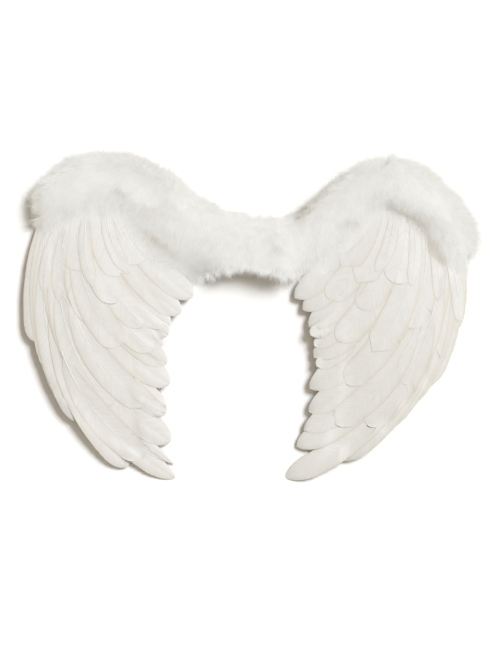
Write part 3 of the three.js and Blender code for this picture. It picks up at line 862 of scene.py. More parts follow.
covered = fur_top > 0
weight = soften(covered.astype(float), CREST_SOFTENING)
crest = soften(np.where(covered, fur_top, 0), CREST_SOFTENING) / np.maximum(weight, THIN_COVER)
for spot in spots_over(RAISED, mesh_x, mesh_y, MM):
    crest += spot
base = soften(wing_top, BASE_SOFTENING)
print("highest crest, mm:", round(crest.max() / MM, 1))

# %% [markdown]
# ## From a roll to a fluff
# At a free rim the fur is a round roll, as steep as a cushion's side. Where it runs over the
# feathers it has no edge at all: it thins out, and single hairs lie on the vanes. One profile
# can't be both. So lines are drawn along the edges that have to disappear, a field says how near
# such a line each place is, and the skin's height goes from one profile to the other by it.

# %% Where the fur thins out
FLUFF_REACH = 26 * MM
FLUFF_FULLNESS = 1.7
FLUFF_LINES = [np.array(line) * MM for line in (
    [(-251, 114), (-218, 133), (-182, 167), (-145, 150), (-122, 100), (-98, 66), (-62, 38)],
    [(92, 66), (102, 80), (128, 107), (161, 140)],
    [(240, 108), (262, 86), (292, 70)],
)]

to_fluff = np.min([distance_to_line(line, mesh_x, mesh_y) for line in FLUFF_LINES], axis=0)
fluff = np.clip(FLUFF_FULLNESS - to_fluff / FLUFF_REACH, 0, 1)
print("share of the fur that thins out:", round(float(fluff[covered].mean()), 2))

# %% The two profiles, from 0 at the rim to 1 on the crest
SKIN_INSET = 4.0 * MM
SKIN_ROUNDING = 24 * MM
FLUFF_ROUNDING = 50 * MM
FLUFF_START = 1.6
FLUFF_DROP = 0.6
RIM_SHARE = 0.5
STEEP_RIMS = (((20, 44), 56, 0.5), ((-288, 122), 55, 0.3), ((74, 162), 70, -0.4))

round_share = np.clip((depth - SKIN_INSET) / SKIN_ROUNDING, 0, 1)
fluff_share = np.clip((depth - SKIN_INSET) / FLUFF_ROUNDING, 0, 1)
rim_share = np.full(depth.shape, RIM_SHARE)
for spot in spots_over(STEEP_RIMS, mesh_x, mesh_y, 1):
    rim_share += spot
roll = rim_share + (1 - rim_share) * np.sqrt(1 - (1 - round_share) ** 2)
profile = (1 - fluff) * roll + fluff * fluff_share * (FLUFF_START - FLUFF_DROP * fluff_share)

# %% The height of the skin, higher over the bridge between the wings
HAIR_RISE = 6 * MM
THINNEST = 1.5 * MM
THICKEST = 17 * MM
BRIDGE_EXTRA = 12 * MM
BRIDGE_REACH = 95 * MM
SKIN_SOFTENING = 9
THIN_SKIN = 0.1

bridge = np.exp(-(mesh_x / BRIDGE_REACH) ** 4)
rise = np.clip(crest - HAIR_RISE - base, THINNEST, THICKEST + bridge * BRIDGE_EXTRA)
is_skin = depth > SKIN_INSET
nearby = np.maximum(soften(is_skin.astype(float), SKIN_SOFTENING), THIN_SKIN)
skin = soften(np.where(is_skin, base + rise * profile, 0), SKIN_SOFTENING) / nearby
print("skin points:", is_skin.sum(), "highest, mm:", round(skin[is_skin].max() / MM, 1))


# %% The skin as a closed mesh, with its underside just inside the feathers below
HIDE_SINK = 1.0 * MM
HIDE_REACH = 0.76


def skin_piece():
    rows, columns = np.nonzero(is_skin[:-1, :-1] & is_skin[1:, :-1]
                               & is_skin[:-1, 1:] & is_skin[1:, 1:])
    index = np.arange(is_skin.size).reshape(is_skin.shape)
    quads = np.column_stack([index[rows, columns], index[rows, columns + 1],
                             index[rows + 1, columns + 1], index[rows + 1, columns]])
    used, renamed = np.unique(quads, return_inverse=True)
    top = renamed.reshape(-1, 4)
    upper = np.column_stack([field.ravel()[used] for field in (mesh_x, mesh_y, skin)])
    lower = upper.copy()
    lower[:, 2] = np.maximum(base.ravel()[used] - HIDE_SINK, TABLE_GAP)
    edges = np.concatenate([top[:, [0, 1]], top[:, [1, 2]], top[:, [2, 3]], top[:, [3, 0]]])
    codes = set(map(tuple, edges))
    rim = np.array([edge for edge in edges if (edge[1], edge[0]) not in codes])
    count = len(used)
    walls = np.column_stack([rim[:, 1], rim[:, 0], rim[:, 0] + count, rim[:, 1] + count])
    quads = np.concatenate([top, top[:, ::-1] + count, walls])
    piece = make_piece("fur_hide", np.concatenate([upper, lower]), quads)
    mark(piece, "reach", np.full(2 * count, HIDE_REACH))
    return piece, upper, lower, top, rim


hide, skin_points, skin_feet, skin_quads, skin_rim = skin_piece()
dress(hide, FUR, "fur", "fur_trim")
print("hide faces:", len(hide.data.polygons))

# %% [markdown]
# ## The hairs
# Long fur grows in small bunches whose tips lean together. All of it is combed one way, along its
# nap, and at the rims it stands out as a soft fringe. Blender has particle hair and hair curves
# for this, but they are no meshes, and these wings have to leave Blender as plain meshes. So each
# bunch takes a random place on the skin and a way to lie, and each hair in it is a narrow ribbon
# that tapers to a point.

# %% Reading a field of the grid at any place, and arrows of length one
TINY = 1e-9


def read_grid(field, places):
    column = (places[:, 0] - grid_x[0]) / PITCH
    row = (places[:, 1] - grid_y[0]) / PITCH
    i = np.clip(row.astype(int), 0, field.shape[0] - 2)
    k = np.clip(column.astype(int), 0, field.shape[1] - 2)
    u, v = column - k, row - i
    return ((field[i, k] * (1 - u) + field[i, k + 1] * u) * (1 - v)
            + (field[i + 1, k] * (1 - u) + field[i + 1, k + 1] * u) * v)


def unit(vectors):
    return vectors / np.maximum(np.linalg.norm(vectors, axis=-1, keepdims=True), TINY)


# %% Places for bunches of hair, on the wall below the rim and over the skin
HAIR_SEED = 2024
UPPER_WALL = 0.4

draws = np.random.default_rng(HAIR_SEED)


def place_on_rim(count, high=UPPER_WALL):
    pick = draws.choice(len(skin_rim), count)
    start, end = skin_rim[pick].T
    along, up = draws.random((2, count, 1))
    top = skin_points[start] * (1 - along) + skin_points[end] * along
    foot = skin_feet[start] * (1 - along) + skin_feet[end] * along
    way = skin_points[end] - skin_points[start]
    outward = unit(np.column_stack([way[:, 1], -way[:, 0], np.zeros(count)]))
    return foot + (top - foot) * up ** high, outward


def place_bunches(count):
    corners = skin_points[skin_quads]
    diagonals = np.cross(corners[:, 2] - corners[:, 0], corners[:, 3] - corners[:, 1])
    areas = np.linalg.norm(diagonals, axis=1)
    pick = draws.choice(len(areas), count, p=areas / areas.sum())
    u, v = draws.random((2, count, 1))
    a, b, c, d = (corners[pick, k] for k in range(4))
    places = (a * (1 - u) + b * u) * (1 - v) + (d * (1 - u) + c * u) * v
    return places, diagonals[pick] / areas[pick][:, None]


# %% [markdown]
# ## The way the hair lies
# Fur has a nap: its hair lies one way all over. Here the nap points down the wings, and turns
# outward towards their tips. Near a rim the hair also falls over the edge. Hair that all lay
# exactly so would look like plastic, so wide soft swirls and a little chance are added. Where the
# nap and the rim pull against each other the hair stands up, because a hard parting line would
# show there.

# %% The slope towards the rims, the swirls and the nap
SLOPE_SOFTENING = 10
SWIRL_SOFTENING = 30
NAP_AT = np.array([-300, -200, -60, 60, 180, 300]) * MM
NAP_SIDEWAYS = [-1.3, -0.8, -0.2, 0.0, 0.1, 0.6]

slope_y, slope_x = np.gradient(soften(depth, SLOPE_SOFTENING), PITCH)
flow = np.stack([soften(draws.normal(0, 1, depth.shape), SWIRL_SOFTENING) for _ in range(2)])
flow /= flow.std()
print("steepest slope of the depth:", round(float(np.hypot(slope_x, slope_y).max()), 2))


def nap_at(places):
    sideways = np.interp(places[:, 0], NAP_AT, NAP_SIDEWAYS)
    return unit(np.column_stack([sideways, np.full(len(places), -1.0), np.zeros(len(places))]))


# %% Combing: the way of each bunch, from its place and the skin's normal there
RIM_WIDTH = 15 * MM
RIM_START = 1.3
RIM_LEAST = 0.05
NAP_LOST_AT_RIM = 0.7
SWIRL = 0.12
SURE_WAY = 0.5


def comb(places, normals, upright, outward, stray):
    near_rim = RIM_START - read_grid(depth, places) / RIM_WIDTH
    at_rim = np.clip(near_rim, RIM_LEAST, 1)[:, None]
    down_slope = -np.column_stack([read_grid(slope_x, places), read_grid(slope_y, places),
                                   np.zeros(len(places))])
    nap = nap_at(places)
    drift = np.column_stack([read_grid(flow[0], places), read_grid(flow[1], places),
                             np.zeros(len(places))])
    lying = (down_slope * outward * at_rim + nap * (1 - NAP_LOST_AT_RIM * at_rim)
             + drift * SWIRL + draws.normal(0, stray, places.shape))
    lying -= normals * (lying * normals).sum(axis=1, keepdims=True)
    size = np.linalg.norm(lying, axis=1, keepdims=True)
    return unit(normals * upright + lying / np.maximum(size, SURE_WAY))


# %% [markdown]
# ## Partings and painted shade
# The coat opens at a few partings, where the hair was pressed aside. Cutting a groove in the skin
# would give too hard a line. Here the hairs near a parting are only shorter and darker, and the
# darker tone is painted shade. The same painted shade lies along a few lines: under the right
# roll's inner edge, on the left flank that is turned away from the light, where the fur meets the
# left wing's feathers, and along the upper edges on both sides of the dip between the wings.

# %% Painted shade as spots at partings and along lines, in mm, each with a radius and a strength
PARTING_FLATNESS = 1.6
MOST_PAINTED_SHADE = 0.9
PARTING_SHADE = (
    ((-172, 170), 6, 0.55), ((-163, 166), 6, 0.4), ((-119, 143), 12, 0.25),
    ((131, 128), 9, 0.45), ((37, 92), 8, 0.4), ((30, 106), 9, 0.25),
)
SHADE_LINES = (
    ([(183, 147), (215, 134), (235, 113), (242, 98), (255, 80)], 6, 0.6),
    ([(-281, 156), (-278, 96)], 13, 0.4),
    ([(-141, 119), (-112, 99)], 3.5, 0.4),
    ([(-127, 106), (-94, 84)], 3.5, 0.4),
    ([(66, 124), (100, 158), (133, 197)], 5, 0.25),
    ([(-118, 204), (-80, 175), (-46, 142)], 5, 0.25),
)


# How much painted shade falls on each hair: at partings and along the shade lines.
def painted_shade_at(places):
    shown = np.zeros(len(places))
    for (x, y), radius, strength in PARTING_SHADE:
        gap = np.hypot(places[:, 0] / MM - x, (places[:, 1] / MM - y) * PARTING_FLATNESS)
        shown += strength * np.exp(-(gap / radius) ** 2)
    for line, radius, strength in SHADE_LINES:
        gap = distance_to_line(np.array(line) * MM, places[:, 0], places[:, 1]) / MM
        shown += strength * np.exp(-(gap / radius) ** 2)
    return np.minimum(shown, MOST_PAINTED_SHADE)


print("partings:", len(PARTING_SHADE), "seams:", len(SHADE_LINES))


# %% [markdown]
# ## One hair as a ribbon
# A hair leaves its root a little steeper than it lies later, and bends over towards its tip. A
# curve with one knee is enough for that. The ribbon along it is cut off at a few stations and
# narrows to a point. Its faces are seen from any side, so each hair is told to take the light as
# the skin below it would, a little more from above, and the fur then looks like one soft mass.
# White hair lets most light through. Ribbons that cast full shadows would turn it grey, so they
# cast none, and the skin under them casts the shadow of the whole roll.

# %% The line of every hair in some bunches: its root, its knee and its tip
BUNCH_SPREAD = 2.8 * MM
KNEE_LIFT = 0.25


def hair_lines(roots, normal, ways, lengths, uneven, gather, droop, stray):
    block = (*normal.shape[:2], 1)
    spread = draws.normal(0, BUNCH_SPREAD, normal.shape)
    spread -= normal * (spread * normal).sum(axis=2, keepdims=True)
    own_length = lengths[:, None, None] * draws.uniform(*uneven, block)
    way = unit(ways[:, None] + draws.normal(0, stray, normal.shape))
    root = roots[:, None] + spread
    tip = root + way * own_length - spread * draws.uniform(*gather, block)
    tip[..., 2] -= np.reshape(droop, (-1, 1)) * own_length[..., 0]
    knee = root + unit(way + normal * KNEE_LIFT) * own_length * 0.5
    return root, knee, tip


# %% The points and faces of ribbons along such lines
TWIST = 0.15
TIP_TAPER = 0.75
LOWEST = 0.2 * MM


def ribbons(root, knee, tip, facing, width, stations):
    beside = unit(np.cross(tip - root, facing + draws.normal(0, TWIST, facing.shape)))
    points = []
    for t in stations:
        middle = root * (1 - t) ** 2 + knee * 2 * t * (1 - t) + tip * t ** 2
        half = beside * width / 2 * (1 - TIP_TAPER * t)
        points += [middle - half, middle + half] if t < 1 else [middle]
    stacked = np.stack(points, axis=2).reshape(-1, 3)
    stacked[:, 2] = np.maximum(stacked[:, 2], LOWEST)
    hairs = np.arange(len(stacked) // len(points))[:, None] * len(points)
    quads = np.concatenate([hairs + [2 * k, 2 * k + 1, 2 * k + 3, 2 * k + 2]
                            for k in range(len(stations) - 2)])
    last = 2 * (len(stations) - 2)
    return stacked, quads, hairs + [last, last + 1, last + 2]


# %% How far into the light each point of a hair reaches, different for each bunch and hair
BUNCH_SHADE = 0.38
HAIR_SHADE = 0.3


def reach_of(roots, in_bunch, stations, ends):
    reach = ends[0] + (ends[1] - ends[0]) * np.append(np.repeat(stations[:-1], 2), 1.0)
    # Painted shade darkens bunches near partings and shade lines; on top of that each bunch and
    # hair has a random tone.
    shade = 1 - painted_shade_at(roots)[:, None] - BUNCH_SHADE * draws.random((len(roots), 1)) ** 2
    shade = shade - draws.uniform(0, HAIR_SHADE, (len(roots), in_bunch))
    return (reach * shade.reshape(-1, 1)).ravel()


# %% Bunches of hair as one piece
ALONG_SKIN = 0.4
FROM_ABOVE = 0.6
COARSE = np.array([0, 0.5, 1.0])
FINE = np.array([0, 0.4, 0.75, 1.0])


def face_along(piece, directions):
    layer = piece.data.attributes.new("custom_normal", "FLOAT_VECTOR", "POINT")
    layer.data.foreach_set("vector", directions.astype(np.float32).ravel())
    piece.data.update()


def grow_hairs(name, roots, normals, ways, lengths, in_bunch, width, uneven, gather, droop,
               stray, ends, stations=FINE):
    normal = np.repeat(normals[:, None], in_bunch, axis=1)
    lines = hair_lines(roots, normal, ways, lengths, uneven, gather, droop, stray)
    facing = unit(ALONG_SKIN * normal + [0, 0, FROM_ABOVE])
    points, quads, triangles = ribbons(*lines, facing, width, stations)
    piece = make_piece(name, points, quads, triangles)
    mark(piece, "reach", reach_of(roots, in_bunch, stations, ends))
    face_along(piece, np.repeat(facing.reshape(-1, 3), 2 * len(stations) - 1, axis=0))
    dress(piece, FUR, "fur", "fur_trim")
    piece.visible_shadow = False
    print(name, "hairs:", len(triangles), "triangles:", 2 * len(quads) + len(triangles))


# %% [markdown]
# ## The coat
# The coat is the hair over the whole skin. Most of the hairs are in it, so it has the plainest
# ones, with one bend and three triangles each. A single mesh of them would be too large for the
# export, so the coat is shared out into a left, a middle and a right piece.

# %% The coat, shorter where it is parted, and drooping near the rims
COAT_BUNCHES = 9600
COAT_HAIRS = 14
COAT_LENGTH = 15 * MM
COAT_WIDTH = 0.3 * MM
COAT_UPRIGHT = 0.22
COAT_OUTWARD = 1.2
COAT_STRAY = 0.08
PARTED_LOSS = 0.6
DROOP = 0.06
RIM_DROOP = 0.12
DROOP_START = 1.4

roots, normals = place_bunches(COAT_BUNCHES)
lengths = COAT_LENGTH * (1 - PARTED_LOSS * painted_shade_at(roots))
ways = comb(roots, normals, COAT_UPRIGHT, COAT_OUTWARD, COAT_STRAY)
droops = DROOP + RIM_DROOP * np.clip(DROOP_START - read_grid(depth, roots) / RIM_WIDTH, 0, 1)
order = np.argsort(roots[:, 0])
for name, picked in zip(("fur_left", "fur_middle", "fur_right"), np.array_split(order, 3)):
    grow_hairs(name, roots[picked], normals[picked], ways[picked], lengths[picked], COAT_HAIRS,
               COAT_WIDTH, uneven=(0.55, 1.15), gather=(0.1, 0.7), droop=droops[picked],
               stray=0.12, ends=(0.6, 1.0), stations=COARSE)

# %% [markdown]
# ## The fringe
# Where the fur ends, its hairs can be seen one by one against the table, longer in some places
# than in others. The rim that looks away from the window is dark at the roots, with light on the
# tips, and that dark is painted shade. On the lit rims it is the other way round: the roots are
# bright, and the single hairs at the tips are painted a little grey against the white table. One
# fringe can't be both, so it is made as two pieces. The one that is turned away also casts a
# shadow, which gives that side its soft dark edge.

# %% Places on the rims, and how long the fringe is there
FRINGE_BUNCHES = 6500
FRINGE_LENGTH = 15 * MM
FLUFF_LOSS = 0.85
UPPER_LOSS = 0.2
LONG_FRINGES = (((-288, 112), 40, 2), ((-50, 40), 30, 2), ((290, 70), 32, 10),
                ((-4, 62), 40, -5), ((52, 48), 24, 7))

roots, normals = place_on_rim(FRINGE_BUNCHES)
kept = draws.random(len(roots)) > FLUFF_LOSS * read_grid(fluff, roots)
roots, normals = roots[kept], normals[kept]
lengths = FRINGE_LENGTH * (1 - UPPER_LOSS * np.clip(normals[:, 1], 0, 1))
for spot in spots_over(LONG_FRINGES, roots[:, 0], roots[:, 1], MM, steepness=2):
    lengths += spot
print("fringe bunches:", len(roots), "longest, mm:", round(lengths.max() / MM, 1))


# %% Helpers for hair on a rim: its way, the side that it takes its light from, and a free rim
FREE_HEIGHT = 4 * MM


def ways_out(roots, normals, outward, nap, stray, rise=0.0):
    return unit(normals * outward + nap_at(roots) * nap + [0, 0, rise]
                + draws.normal(0, stray, roots.shape))


def leaning(normals, outward, up):
    return unit(normals * outward + [0, 0, up])


def is_free(roots, normals, mm_out):
    return read_grid(wing_top, roots + normals * mm_out * MM) < FREE_HEIGHT


# %% Which part of the fringe is turned away from the light, and clear of the left wing's feathers
AWAY_FROM_LIGHT = [-0.84, -0.54, 0]
LEAST_AWAY = 0.15
ON_FEATHERS_MIDDLE = -100 * MM
ON_FEATHERS_HALF = 55 * MM

ways = ways_out(roots, normals, outward=0.9, nap=0.35, stray=0.22)
upright = leaning(normals, outward=0.4, up=0.6)
away = (is_free(roots, normals, mm_out=14) & (normals @ AWAY_FROM_LIGHT > LEAST_AWAY)
        & (np.abs(roots[:, 0] - ON_FEATHERS_MIDDLE) > ON_FEATHERS_HALF))
print("share of the fringe turned away:", round(float(away.mean()), 2))

# %% The fringe
FRINGE_HAIRS = 6
FRINGE_WIDTH = 0.28 * MM

# The ends are painted shade: dark roots on the side away from the light, grey tips on the lit
# side.
for name, picked, ends in (("fur_fringe_lit", ~away, (0.85, 0.25)),
                           ("fur_fringe_shaded", away, (0.4, 0.75))):
    grow_hairs(name, roots[picked], upright[picked], ways[picked], lengths[picked], FRINGE_HAIRS,
               FRINGE_WIDTH, uneven=(0.15, 1.3), gather=(-0.3, 0.5), droop=0.12, stray=0.2,
               ends=ends)
bpy.data.objects["fur_fringe_shaded"].visible_shadow = True

# %% [markdown]
# ## Locks
# On the side away from the light some hairs stick together in locks. They stand out from the
# fringe, and their tips catch the light in front of the shadow. The same ribbons make them, when
# they are wider, start a little higher and run together at the tip.

# %% Locks over the fringe
LOCKS = 170
LOCK_TRIES = 9
LOCK_HAIRS = 12
LOCK_LENGTH = 17 * MM
LOCK_WIDTH = 0.5 * MM
LOCK_SIDE = [-0.5, -0.86, 0]
LEAST_LOCK_SIDE = 0.3
LOCK_VARIETY = (0.6, 1.2)
LOCK_RAISE = 3
RIM_TOP = 0.04
UP = [0.0, 0.0, 1.0]

roots, normals = place_on_rim(LOCK_TRIES * LOCKS, RIM_TOP)
kept = is_free(roots, normals, mm_out=16) & (normals @ LOCK_SIDE > LEAST_LOCK_SIDE)
roots, normals = roots[kept][:LOCKS], normals[kept][:LOCKS]
roots += [0, 0, LOCK_RAISE * MM] - normals * LOCK_RAISE * MM
ways = ways_out(roots, normals, outward=0.8, nap=0.3, stray=0.2, rise=0.15)
upright = np.tile(UP, (len(roots), 1))
lengths = LOCK_LENGTH * draws.uniform(*LOCK_VARIETY, len(roots))
grow_hairs("fur_locks", roots, upright, ways, lengths, LOCK_HAIRS, LOCK_WIDTH, uneven=(0.5, 1.1),
           gather=(0.8, 1.0), droop=0.1, stray=0.08, ends=(0.9, 1.0))

# %% [markdown]
# ## Hair under the rim
# Seen from the side, the wall between the rim and the table would be bare skin, and the felt's
# edge would show under the bridge. Real fur hangs down there. Hair that points outward and a
# little down, spread over the whole height of the wall, hides both.

# %% Hair on the wall under the rim, down to the table
UNDER_BUNCHES = 4200
UNDER_HAIRS = 5
UNDER_LENGTH = 13 * MM
WHOLE_WALL = 1.3

roots, normals = place_on_rim(UNDER_BUNCHES, WHOLE_WALL)
kept = is_free(roots, normals, mm_out=8)
roots, normals = roots[kept], normals[kept]
ways = ways_out(roots, normals, outward=1.0, nap=0.3, stray=0.25, rise=-0.25)
upright = leaning(normals, outward=0.7, up=0.4)
lengths = np.full(len(roots), UNDER_LENGTH)
# These hairs are a little darker all along, as painted shade under the rim.
grow_hairs("fur_under", roots, upright, ways, lengths, UNDER_HAIRS, FRINGE_WIDTH,
           uneven=(0.3, 1.1), gather=(-0.2, 0.5), droop=0.1, stray=0.2, ends=(0.6, 0.5))

# %% [markdown]
# ## Wisps over the feathers
# Fur laid on feathers has no edge: its last hairs lie on the vanes and let them show through. The
# thinned skin already gives most of that. Bunches that start on both sides of the rim and lie on
# the pile of feathers give the rest. One row of them follows the right wing's outer edge, where
# the photographed fur comes down furthest.

# %% Roots around the rim, where the fur thins out
WISP_BUNCHES = 3300
WISP_OFFSET = (-6, 15)

roots, normals = place_on_rim(WISP_BUNCHES)
kept = draws.random(len(roots)) < read_grid(fluff, roots)
roots, normals = roots[kept], normals[kept]
roots += normals * draws.uniform(*WISP_OFFSET, (len(roots), 1)) * MM

# %% A row of roots at the right wing's outer edge
WISP_ROW = ((238, 106), (288, 72))
ROW_BUNCHES = 900
ROW_OFFSET = (-4, 16)
ROW_WAY = [-0.5, -0.85, 0.0]

row_share = draws.random((ROW_BUNCHES, 1))
row = np.hstack([np.array(WISP_ROW[0]) * (1 - row_share) + np.array(WISP_ROW[1]) * row_share,
                 np.zeros((ROW_BUNCHES, 1))]) * MM
row[:, 1] -= draws.uniform(*ROW_OFFSET, ROW_BUNCHES) * MM
roots = np.concatenate([roots, row])
normals = np.concatenate([normals, np.tile(ROW_WAY, (ROW_BUNCHES, 1))])
print("wisps to lay:", len(roots))

# %% Wisps laid on the pile, from root to tip
WISP_HAIRS = 8
WISP_WIDTH = 0.24 * MM
WISP_LIFT = 0.9 * MM
WISP_LENGTHS = (9, 19)


def ground_under(places):
    return ground_below(places[None])[0]


lengths = draws.uniform(*WISP_LENGTHS, len(roots)) * MM
ways = ways_out(roots, normals, outward=0.5, nap=0.8, stray=0.14)
ways[:, 2] = 0
tips = roots + ways * lengths[:, None]
start, end = ground_under(roots), ground_under(tips)
on_wing = (start > 0) & (end > 0)
roots, tips, lengths = roots[on_wing], tips[on_wing], lengths[on_wing]
roots[:, 2], tips[:, 2] = start[on_wing] + WISP_LIFT, end[on_wing] + WISP_LIFT
upright = np.tile(UP, (len(roots), 1))
grow_hairs("fur_wisps", roots, upright, unit(tips - roots), lengths, WISP_HAIRS, WISP_WIDTH,
           uneven=(0.5, 1.15), gather=(0.0, 0.5), droop=0.0, stray=0.12, ends=(0.75, 1.0))

# %% [markdown]
# ## The felt
# The felt is what the feathers are glued to, and it shows on the back. Felt is never quite flat.
# Bump in the finish would leave its edge a ruled line, so the solid's own faces are divided and
# every point is moved up or down a little by a soft noise.

# %% The felt sheet, a little uneven all over
FELT_STEP = 11 * MM
FELT_UNEVEN = 0.3 * MM
FELT_WAVE = 18 * MM
MOST_DIVISIONS = 9
FELT_CREASE = 40


def felt_sheet():
    form = bmesh.new()
    form.from_mesh(frame["nodes"]["backing_panel"].data)
    for _ in range(MOST_DIVISIONS):
        long_edges = [edge for edge in form.edges if edge.calc_length() > FELT_STEP]
        if not long_edges:
            break
        bmesh.ops.subdivide_edges(form, edges=long_edges, cuts=1)
        bmesh.ops.triangulate(form, faces=form.faces[:])
    for vertex in form.verts:
        place = Vector((vertex.co.x, vertex.co.y, 0)) / FELT_WAVE
        vertex.co.z += FELT_UNEVEN * noise.noise(place)
    mesh = bpy.data.meshes.new("felt_sheet")
    form.to_mesh(mesh)
    form.free()
    mesh.shade_smooth()
    mesh.set_sharp_from_angle(angle=math.radians(FELT_CREASE))
    piece = bpy.data.objects.new("felt_sheet", mesh)
    bpy.context.collection.objects.link(piece)
    return piece


felt = felt_sheet()
dress(felt, FELT, "felt", "backing_panel")
print("felt faces:", len(felt.data.polygons))

# %% [markdown]
# ## The felt's fibres
# From close by felt is recognised by its fibres: short, in every direction, most of them nearly
# lying down. One triangle each is enough for them. They start at random places, spread evenly
# over the sheet, and grow outward from whichever side they start on.

# %% The short fibres that stand out from the felt
FIBRES = 12000
FIBRE_SEED = 5
FIBRE_LENGTH = 1.6 * MM
FIBRE_WIDTH = 0.07 * MM
FIBRE_LIFT = 0.25
FIBRE_STRAY = 0.6
FIBRE_TWIST = 0.3
SHORTEST = 0.3


def felt_fibres():
    draws = np.random.default_rng(FIBRE_SEED)
    corners = np.array([[felt.data.vertices[k].co for k in face.vertices]
                        for face in felt.data.polygons])
    across = np.cross(corners[:, 1] - corners[:, 0], corners[:, 2] - corners[:, 0])
    areas = np.linalg.norm(across, axis=1)
    pick = draws.choice(len(areas), FIBRES, p=areas / areas.sum())
    u, v = np.sort(draws.random((2, FIBRES, 1)), axis=0)
    a, b, c = (corners[pick, k] for k in range(3))
    root = a * u + b * (v - u) + c * (1 - v)
    normal = across[pick] / areas[pick][:, None]
    way = unit(normal * FIBRE_LIFT + draws.normal(0, FIBRE_STRAY, root.shape))
    way *= np.sign((way * normal).sum(axis=1, keepdims=True))
    twisted = normal + draws.normal(0, FIBRE_TWIST, root.shape)
    beside = unit(np.cross(way, twisted)) * FIBRE_WIDTH / 2
    tip = root + way * FIBRE_LENGTH * draws.uniform(SHORTEST, 1, (FIBRES, 1))
    tip[:, 2] = np.maximum(tip[:, 2], TABLE_GAP)
    points = np.stack([root - beside, root + beside, tip], axis=1).reshape(-1, 3)
    return make_piece("felt_fibres", points, (), np.arange(len(points)).reshape(-1, 3))


fibres = felt_fibres()
dress(fibres, FELT, "felt", "backing_panel")
print("felt fibres:", len(fibres.data.polygons))

# %% [markdown]
# ## The arm loops
# The arms go through two loops of elastic, which lie folded flat under the felt. Elastic is woven
# over rubber threads, so ribs run along the band. They are wide enough to be real shapes. The
# band's section, with its ribs on both faces, is worked out once and carried along the folded
# loop: below, round the end, back above and round the other end.

# %% The loop seen from the side: where each section stands, and which way its outer face looks
FLAT_STEPS = 30
TURN_STEPS = 10


def loop_line(low, high):
    radius = (high.z - low.z) / 2
    steps = np.linspace(0, 1, FLAT_STEPS)
    turns = np.linspace(-math.pi / 2, math.pi / 2, TURN_STEPS)[1:-1]
    turned = np.stack([np.cos(turns), np.sin(turns)], 1)
    ends = (low.x + radius, high.x - radius)
    along = ends[0] + (ends[1] - ends[0]) * steps
    centre = np.concatenate([along, np.full(len(turns), ends[1]), along[::-1],
                             np.full(len(turns), ends[0])])
    facing = np.concatenate([np.tile([0, -1], (FLAT_STEPS, 1)), turned,
                             np.tile([0, 1], (FLAT_STEPS, 1)), -turned])
    return centre, facing, radius


# %% A band of woven elastic along that loop
ELASTIC_THICKNESS = 1.2 * MM
WEAVE_RIBS = 10
RIB_DEPTH = 0.12 * MM
BAND_CREASE = 60


def loop_band(node):
    low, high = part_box(node)
    centre, facing, radius = loop_line(low, high)
    share = np.linspace(0, 1, WEAVE_RIBS * 2 + 1)
    groove = RIB_DEPTH * np.cos(math.pi * WEAVE_RIBS * share) ** 2
    offset = np.concatenate([radius - groove, radius - ELASTIC_THICKNESS + groove[::-1]])
    width = np.concatenate([share, share[::-1]])
    points = np.empty((len(centre), len(offset), 3))
    points[..., 0] = centre[:, None] + facing[:, :1] * offset
    points[..., 1] = low.y + (high.y - low.y) * width
    points[..., 2] = low.z + radius + facing[:, 1:] * offset
    index = np.arange(len(centre) * len(offset)).reshape(len(centre), -1)
    beside, below = np.roll(index, -1, axis=1), np.roll(index, -1, axis=0)
    faces = np.stack([index, below, np.roll(below, -1, axis=1), beside], -1).reshape(-1, 4)
    piece = make_piece(f"{node}_band", points.reshape(-1, 3), faces)
    piece.data.set_sharp_from_angle(angle=math.radians(BAND_CREASE))
    dress(piece, ELASTIC, "elastic", node)
    return piece


# %% Both loops
bands = [loop_band(node) for node in ("left_arm_loop", "right_arm_loop")]
print("arm loop faces:", [len(band.data.polygons) for band in bands])

# %% [markdown]
# ## The table
# The wings were photographed on a white ground without an end. A large flat square, matt and very
# white, shows their soft shadows and nothing of its own. It belongs to the stage and not to the
# wings.

# %% A flat square for the stage
TABLE_HALF = 6.0
TABLE_WHITE = 0.93
TABLE_ROUGHNESS = 0.9


def make_table():
    corners = [(-1, -1, 0), (1, -1, 0), (1, 1, 0), (-1, 1, 0)]
    table = make_piece("table", np.array(corners) * TABLE_HALF, [[0, 1, 2, 3]])
    finish, _, _, shader = start_finish("table_white", TABLE_ROUGHNESS, 0.0)
    shader.inputs["Base Color"].default_value = (TABLE_WHITE, TABLE_WHITE, TABLE_WHITE, 1)
    table.data.materials.append(finish)
    return table


table = make_table()
print("table side, m:", round(table.dimensions.x, 1))

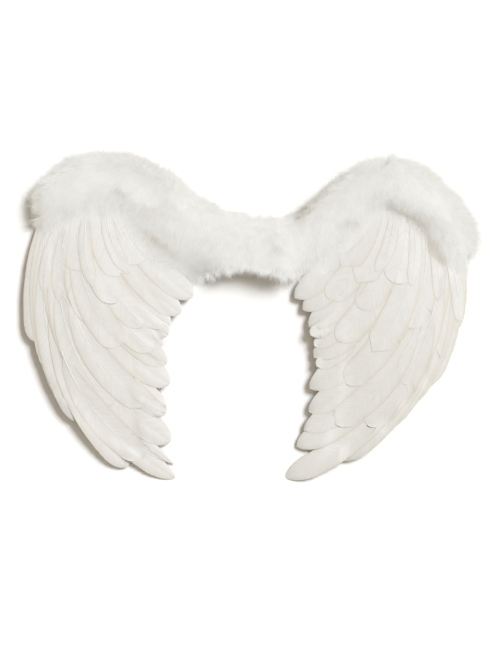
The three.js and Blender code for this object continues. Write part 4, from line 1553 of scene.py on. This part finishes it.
# %% [markdown]
# ## The light
# The shadows in the photograph are soft and fall to the lower left, so one large light stands at
# the upper right. A sun with a wide angle gives the same softness everywhere, as a window far
# away would, where a lamp close by would be softer in some places than in others. The room fills
# the shadows. It is a little warm and the window a little cool, as the grey of the shadows and
# the white of the fur show.

# %% The window
WINDOW_DIRECTION = Vector((0.58, 0.46, 0.70))
WINDOW_ANGLE = 24
WINDOW_ENERGY = 3.5
WINDOW_COLOUR = (0.915, 0.95, 1.0)


def add_window():
    data = bpy.data.lights.new("window", "SUN")
    data.angle = math.radians(WINDOW_ANGLE)
    data.energy = WINDOW_ENERGY
    data.color = WINDOW_COLOUR
    light = bpy.data.objects.new("window", data)
    light.rotation_euler = (-WINDOW_DIRECTION).to_track_quat("-Z", "Y").to_euler()
    bpy.context.collection.objects.link(light)


add_window()
from_above = math.degrees(WINDOW_DIRECTION.angle(Vector(UP)))
print("the light comes from this many degrees off straight above:", round(from_above))

# %% The room
ROOM_COLOUR = (1.0, 0.895, 0.72)
ROOM_STRENGTH = 0.45

room = bpy.data.worlds.new("room")
room.use_nodes = True
background = room.node_tree.nodes["Background"]
background.inputs["Color"].default_value = (*ROOM_COLOUR, 1)
background.inputs["Strength"].default_value = ROOM_STRENGTH
bpy.context.scene.world = room
bpy.context.scene.view_settings.view_transform = "Standard"
print("room strength:", ROOM_STRENGTH)

# %% [markdown]
# ## The camera
# The photograph looks straight down and shows no perspective on wings this flat, so the camera
# hangs high above them. Its lens follows from that height and from how many millimetres of the
# wings one pixel of the photograph covers.

# %% The camera
PHOTO_HEIGHT_PX = 659
MM_PER_PX = 1.3274
CAMERA_PLACE = (-3.8 * MM, -17.5 * MM)
CAMERA_HEIGHT = 2.4
SENSOR = 36.0

camera_data = bpy.data.cameras.new("camera")
camera_data.sensor_width = SENSOR
camera_data.lens = SENSOR * CAMERA_HEIGHT / (PHOTO_HEIGHT_PX * MM_PER_PX * MM)
camera = bpy.data.objects.new("camera", camera_data)
camera.location = (*CAMERA_PLACE, CAMERA_HEIGHT)
bpy.context.collection.objects.link(camera)
bpy.context.scene.camera = camera
print("lens, mm:", round(camera_data.lens, 1))
